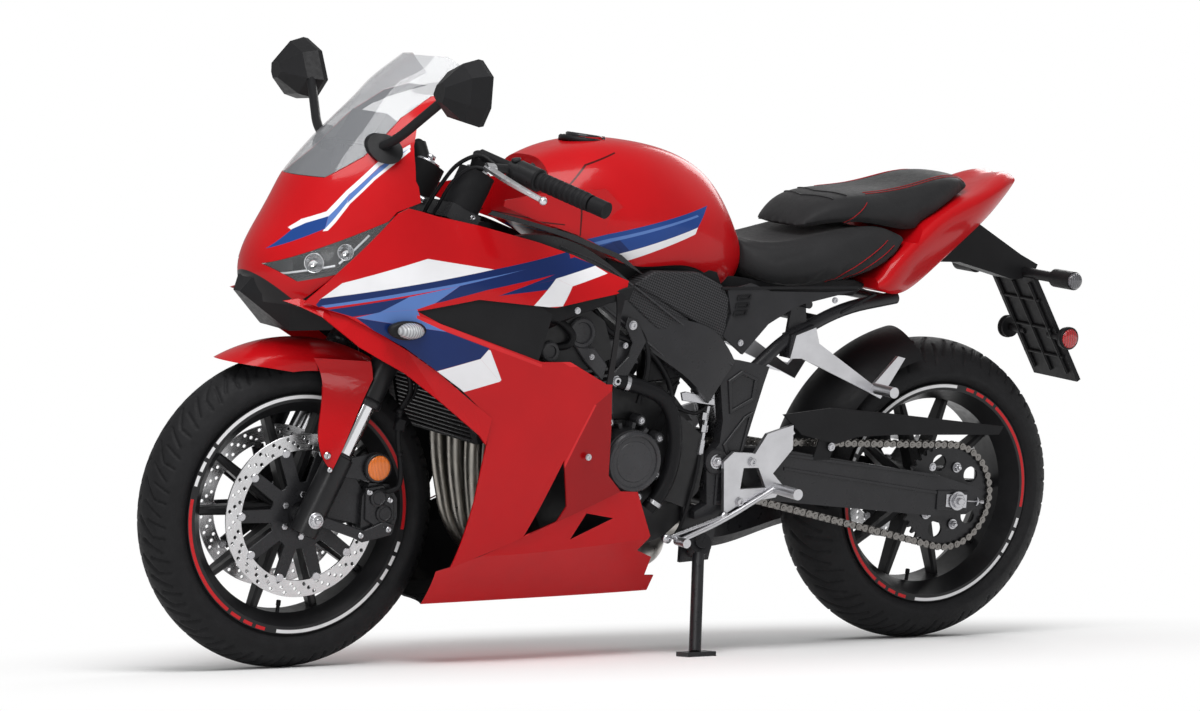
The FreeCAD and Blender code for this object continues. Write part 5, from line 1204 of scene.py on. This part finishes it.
def tyre(word, centre, half_width, crown, rim_half, count, lines):
    """A tyre with moulded grooves in its tread, on the section that the CAD tyre has."""
    radius, lip, bead = centre.z, rim_half - 7.5, 229.5
    shoulder = radius - crown + math.sqrt(crown ** 2 - half_width ** 2)
    sweep = math.asin(half_width / crown)
    rows = [(crown * math.sin(t), radius - crown + crown * math.cos(t), 1)
            for t in np.linspace(-sweep, sweep, int(2 * sweep * crown / 2.6))]
    wall = [(lip, 217.5, 0)]
    for share in np.linspace(0, 1, 14)[:-1]:
        wall.append((lip + (half_width - lip) * math.sin(share * math.pi / 2)
                     + math.sin(share * math.pi) * 3.2 * 0.3,
                     bead + (shoulder - bead) * share, 0))
    section = [(-y, r, t) for y, r, t in wall] + rows + wall[::-1]
    y, r, tread = np.array(section).T
    turns = 720
    angle = np.arange(turns)[:, None] * ROUND / turns
    lean = np.clip(y / crown, -1, 1)
    across = np.repeat(crown * np.arcsin(lean)[None, :], turns, 0)
    around = np.repeat(angle * radius, len(section), 1)
    depth = groove_depth(across, around, ROUND * radius / count, lines) * tread
    far = r - depth * np.sqrt(1 - lean ** 2)
    points = np.stack([centre.x + far * np.cos(angle), y - depth * lean,
                       centre.z + far * np.sin(angle)], -1).reshape(-1, 3)
    mesh = mesh_of(points, grid_faces(turns, len(section), wrap_rows=True))
    made = piece(word + "_tyre_tread", mesh, word + "_tyre", word + "_wheel", smooth=True)
    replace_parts(made, word + "_tyre")


def brake_disc(word, centre, side, outer, inner, root, hole, arms, rows, node):
    """Drilled ring, black carrier and the buttons between them."""
    place, wheel = centre + Vector((0, side, 0)), word.split("_")[0]

    def around(radius, count, shift=0.0):
        turns = [ROUND * (i + shift) / count for i in range(count)]
        return [(radius * math.cos(a), radius * math.sin(a)) for a in turns]

    def part(name, mesh, look):
        return piece("disc_%s_%s" % (word, name), moved(mesh, place), look, wheel + "_wheel")

    holes = [ring_points(4.0, 10, at) for row in rows for at in around(*row)]
    ring = part("ring", plate([ring_points(outer, 96), ring_points(inner, 96)] + holes, 4.5, 0.4),
                wheel + "_disc")
    outline = []
    for i in range(arms):
        for turn, far in ((-0.95, root), (-0.62, root + 2), (-0.30, inner - 3),
                          (0.30, inner - 3), (0.62, root + 2), (0.95, root)):
            angle = (2 * i + turn) * math.pi / arms
            outline.append((far * math.cos(angle), far * math.sin(angle)))
    part("carrier", plate([outline, ring_points(hole, 48)], 5.5, 0.6), "alloy_black")
    studs = [plate([ring_points(7.0, 16, at)], 7.5, 1.2) for at in around(inner - 1, arms)]
    studs += [plate([ring_points(5.5, 6, at)], 14, 0.8) for at in around(hole + 12, 6, 0.5)]
    part("buttons", joined(*studs), "steel")
    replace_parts(ring, node)


def wheels():
    """Tyres with their tread, and the brake discs."""
    tyre("front", FRONT_AXLE, 60, FRONT_CROWN, 54, 26,
         [((4, 0.05), (34, 0.55)), ((34, 0.55), (58, 0.62)), ((14, 0.62), (50, 1.00)),
          ((26, 0.10), (60, 0.30))])
    tyre("rear", REAR_AXLE, 90, REAR_CROWN, 80, 24,
         [((6, 0.05), (52, 0.55)), ((52, 0.55), (86, 0.66)), ((22, 0.60), (78, 1.02)),
          ((44, 0.12), (96, 0.34))])
    for side, word in ((-62, "left"), (62, "right")):
        brake_disc("front_" + word, FRONT_AXLE, side, 155, 124, 62, 28, 10,
                   [(131, 30, 0.0), (139.5, 30, 0.33), (148, 30, 0.66)], "front_disc_" + word)
    brake_disc("rear", REAR_AXLE, 100, 120, 88, 52, 36, 6,
               [(95, 24, 0.0), (104, 24, 0.33), (113, 24, 0.66)], "rear_disc")


# Seats
def bake(made):
    """Leaves the shape that the modifiers give on the mesh itself."""
    shape = made.evaluated_get(bpy.context.evaluated_depsgraph_get())
    mesh = bpy.data.meshes.new_from_object(shape)
    made.modifiers.clear()
    made.data = mesh


def swollen(made, cap):
    """Blows the cushion up a little with cloth pressure and caps how far a point moves."""
    cloth = made.modifiers.new("cloth", "CLOTH")
    cloth.settings.use_pressure = True
    cloth.settings.uniform_pressure_force = 4
    cloth.settings.effector_weights.gravity = 0
    for number in range(1, 16):
        SCENE.frame_set(number)
    shape = made.evaluated_get(bpy.context.evaluated_depsgraph_get()).data
    ends = [v.co.copy() for v in shape.vertices]
    made.modifiers.remove(cloth)
    SCENE.frame_set(1)
    for vertex, end in zip(made.data.vertices, ends):
        shift = end - vertex.co
        if shift.length > cap * MM:
            shift *= cap * MM / shift.length
        vertex.co += shift


def cushion(node, voxel=4, shrink=2.5, cap=4):
    """A padded cover in the place of a plain seat solid."""
    body = shape_of(NODES[node].data, Matrix())
    bmesh.ops.remove_doubles(body, verts=body.verts, dist=1e-5)
    bmesh.ops.recalc_face_normals(body, faces=body.faces)
    body.normal_update()
    for vertex in body.verts:
        vertex.co -= vertex.normal * shrink * MM
    made = piece(node + "_cover", as_mesh(body), "seat", smooth=True, change=Matrix())
    remesh = made.modifiers.new("remesh", "REMESH")
    remesh.mode = "VOXEL"
    remesh.voxel_size = voxel * MM
    made.modifiers.new("smooth", "SMOOTH").iterations = 6
    bake(made)
    swollen(made, cap)
    made.modifiers.new("smooth", "SMOOTH").iterations = 3
    bake(made)
    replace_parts(made, node)
    for face in made.data.polygons:
        face.use_smooth = True
    return made


def seats():
    """Both cushions with their seams."""
    seat_details(cushion("seat_front"), cushion("seat_rear"))


# Stage, light and camera
def stage():
    """A floor that fades into the white round it."""
    size = 40.0
    floor = placed("floor", mesh_of([(-size, -size, 0), (size, -size, 0), (size, size, 0),
                                     (-size, size, 0)], [(0, 1, 2, 3)]))
    look = Look(Base_Color=(0.93, 0.93, 0.93), Roughness=0.9, Specular_IOR_Level=0.0)
    look.material.name = "studio_floor"
    squeeze = look.node("VectorMath", {"operation": "MULTIPLY"})
    look.feed(squeeze.inputs[0], look.node("NewGeometry").outputs["Position"])
    look.feed(squeeze.inputs[1], (1.0, 1.55, 1.0))
    length = look.node("VectorMath", {"operation": "LENGTH"}, Vector=squeeze.outputs[0])
    fade = look.node("MapRange", {"interpolation_type": "SMOOTHSTEP"}, From_Min=0.85,
                     From_Max=1.75, Value=length.outputs["Value"])
    mix = look.node("MixShader")
    for socket, value in zip(mix.inputs, (fade.outputs[0], look.shader.outputs[0],
                                          look.node("Emission").outputs[0])):
        look.feed(socket, value)
    look.feed(look.tree.nodes["Material Output"].inputs["Surface"], mix.outputs[0])
    floor.data.materials.append(look.material)


def light():
    """White to the camera and through glass, dimmer as a light, and three lamps."""
    world = bpy.data.worlds.new("studio")
    SCENE.world = world
    world.use_nodes = True
    tree = world.node_tree
    back = tree.nodes["Background"].inputs
    back["Color"].default_value = (1, 1, 1, 1)
    rays = tree.nodes.new("ShaderNodeLightPath").outputs
    either = tree.nodes.new("ShaderNodeMath")
    either.operation = "MAXIMUM"
    strength = tree.nodes.new("ShaderNodeMapRange")
    strength.inputs["To Min"].default_value = 0.42
    for start, end in ((rays["Is Camera Ray"], either.inputs[0]),
                       (rays["Is Transmission Ray"], either.inputs[1]),
                       (either.outputs[0], strength.inputs["Value"]),
                       (strength.outputs[0], back["Strength"])):
        tree.links.new(start, end)
    for name, place, target, wide, high, power in (
            ("key", (-1.2, -1.6, 3.4), (0, 0, 0.5), 2.6, 1.8, 105),
            ("side", (-3.6, -3.4, 1.6), (-0.3, 0, 0.7), 1.2, 1.2, 26),
            ("rear", (3.2, 1.8, 2.6), (0.4, 0, 0.6), 2.0, 1.4, 44)):
        lamp = bpy.data.lights.new(name, "AREA")
        lamp.shape = "RECTANGLE"
        lamp.size, lamp.size_y, lamp.energy = wide, high, power
        made = placed(name, lamp)
        made.location = place
        made.rotation_euler = (Vector(target) - made.location).to_track_quat("-Z", "Y").to_euler()


def camera():
    """The photograph's camera, fitted to the machine's wheels."""
    turn, rise, roll = [math.radians(a) for a in (-30.921, -0.932, -0.693)]
    back = Vector((math.sin(turn) * math.cos(rise), -math.cos(turn) * math.cos(rise),
                   math.sin(rise)))
    level = Vector((math.cos(turn), math.sin(turn), 0))
    upright = back.cross(level)
    right = level * math.cos(roll) + upright * math.sin(roll)
    up = upright * math.cos(roll) - level * math.sin(roll)
    place = Vector((725, 0, 500)) + back * 7600.5 - right * 4.724 + up * 88.52 + MIDDLE
    lens = bpy.data.cameras.new("camera")
    lens.sensor_width = 36
    lens.lens = 3808.4 / 1200 * 36
    made = placed("camera", lens)
    made.matrix_world = Matrix([*zip(right, up, back, place * MM), (0, 0, 0, 1)])
    SCENE.camera = made


dress_nodes()
for build in (camera, light, stage, wheels, seats, fender, fairing_lips, cockpit, bar_details,
              fork_rings, calipers, brake_hoses, fork_clamps, wheel_details, chain, drive_details,
              engine_covers, engine_hoses, clutch, frame_rims, radiator_slats, side_trim, tank_cap,
              signals, undersides, lamp_details, mirror_glass, rear_details):
    build()
SCENE.view_settings.view_transform = "Standard"
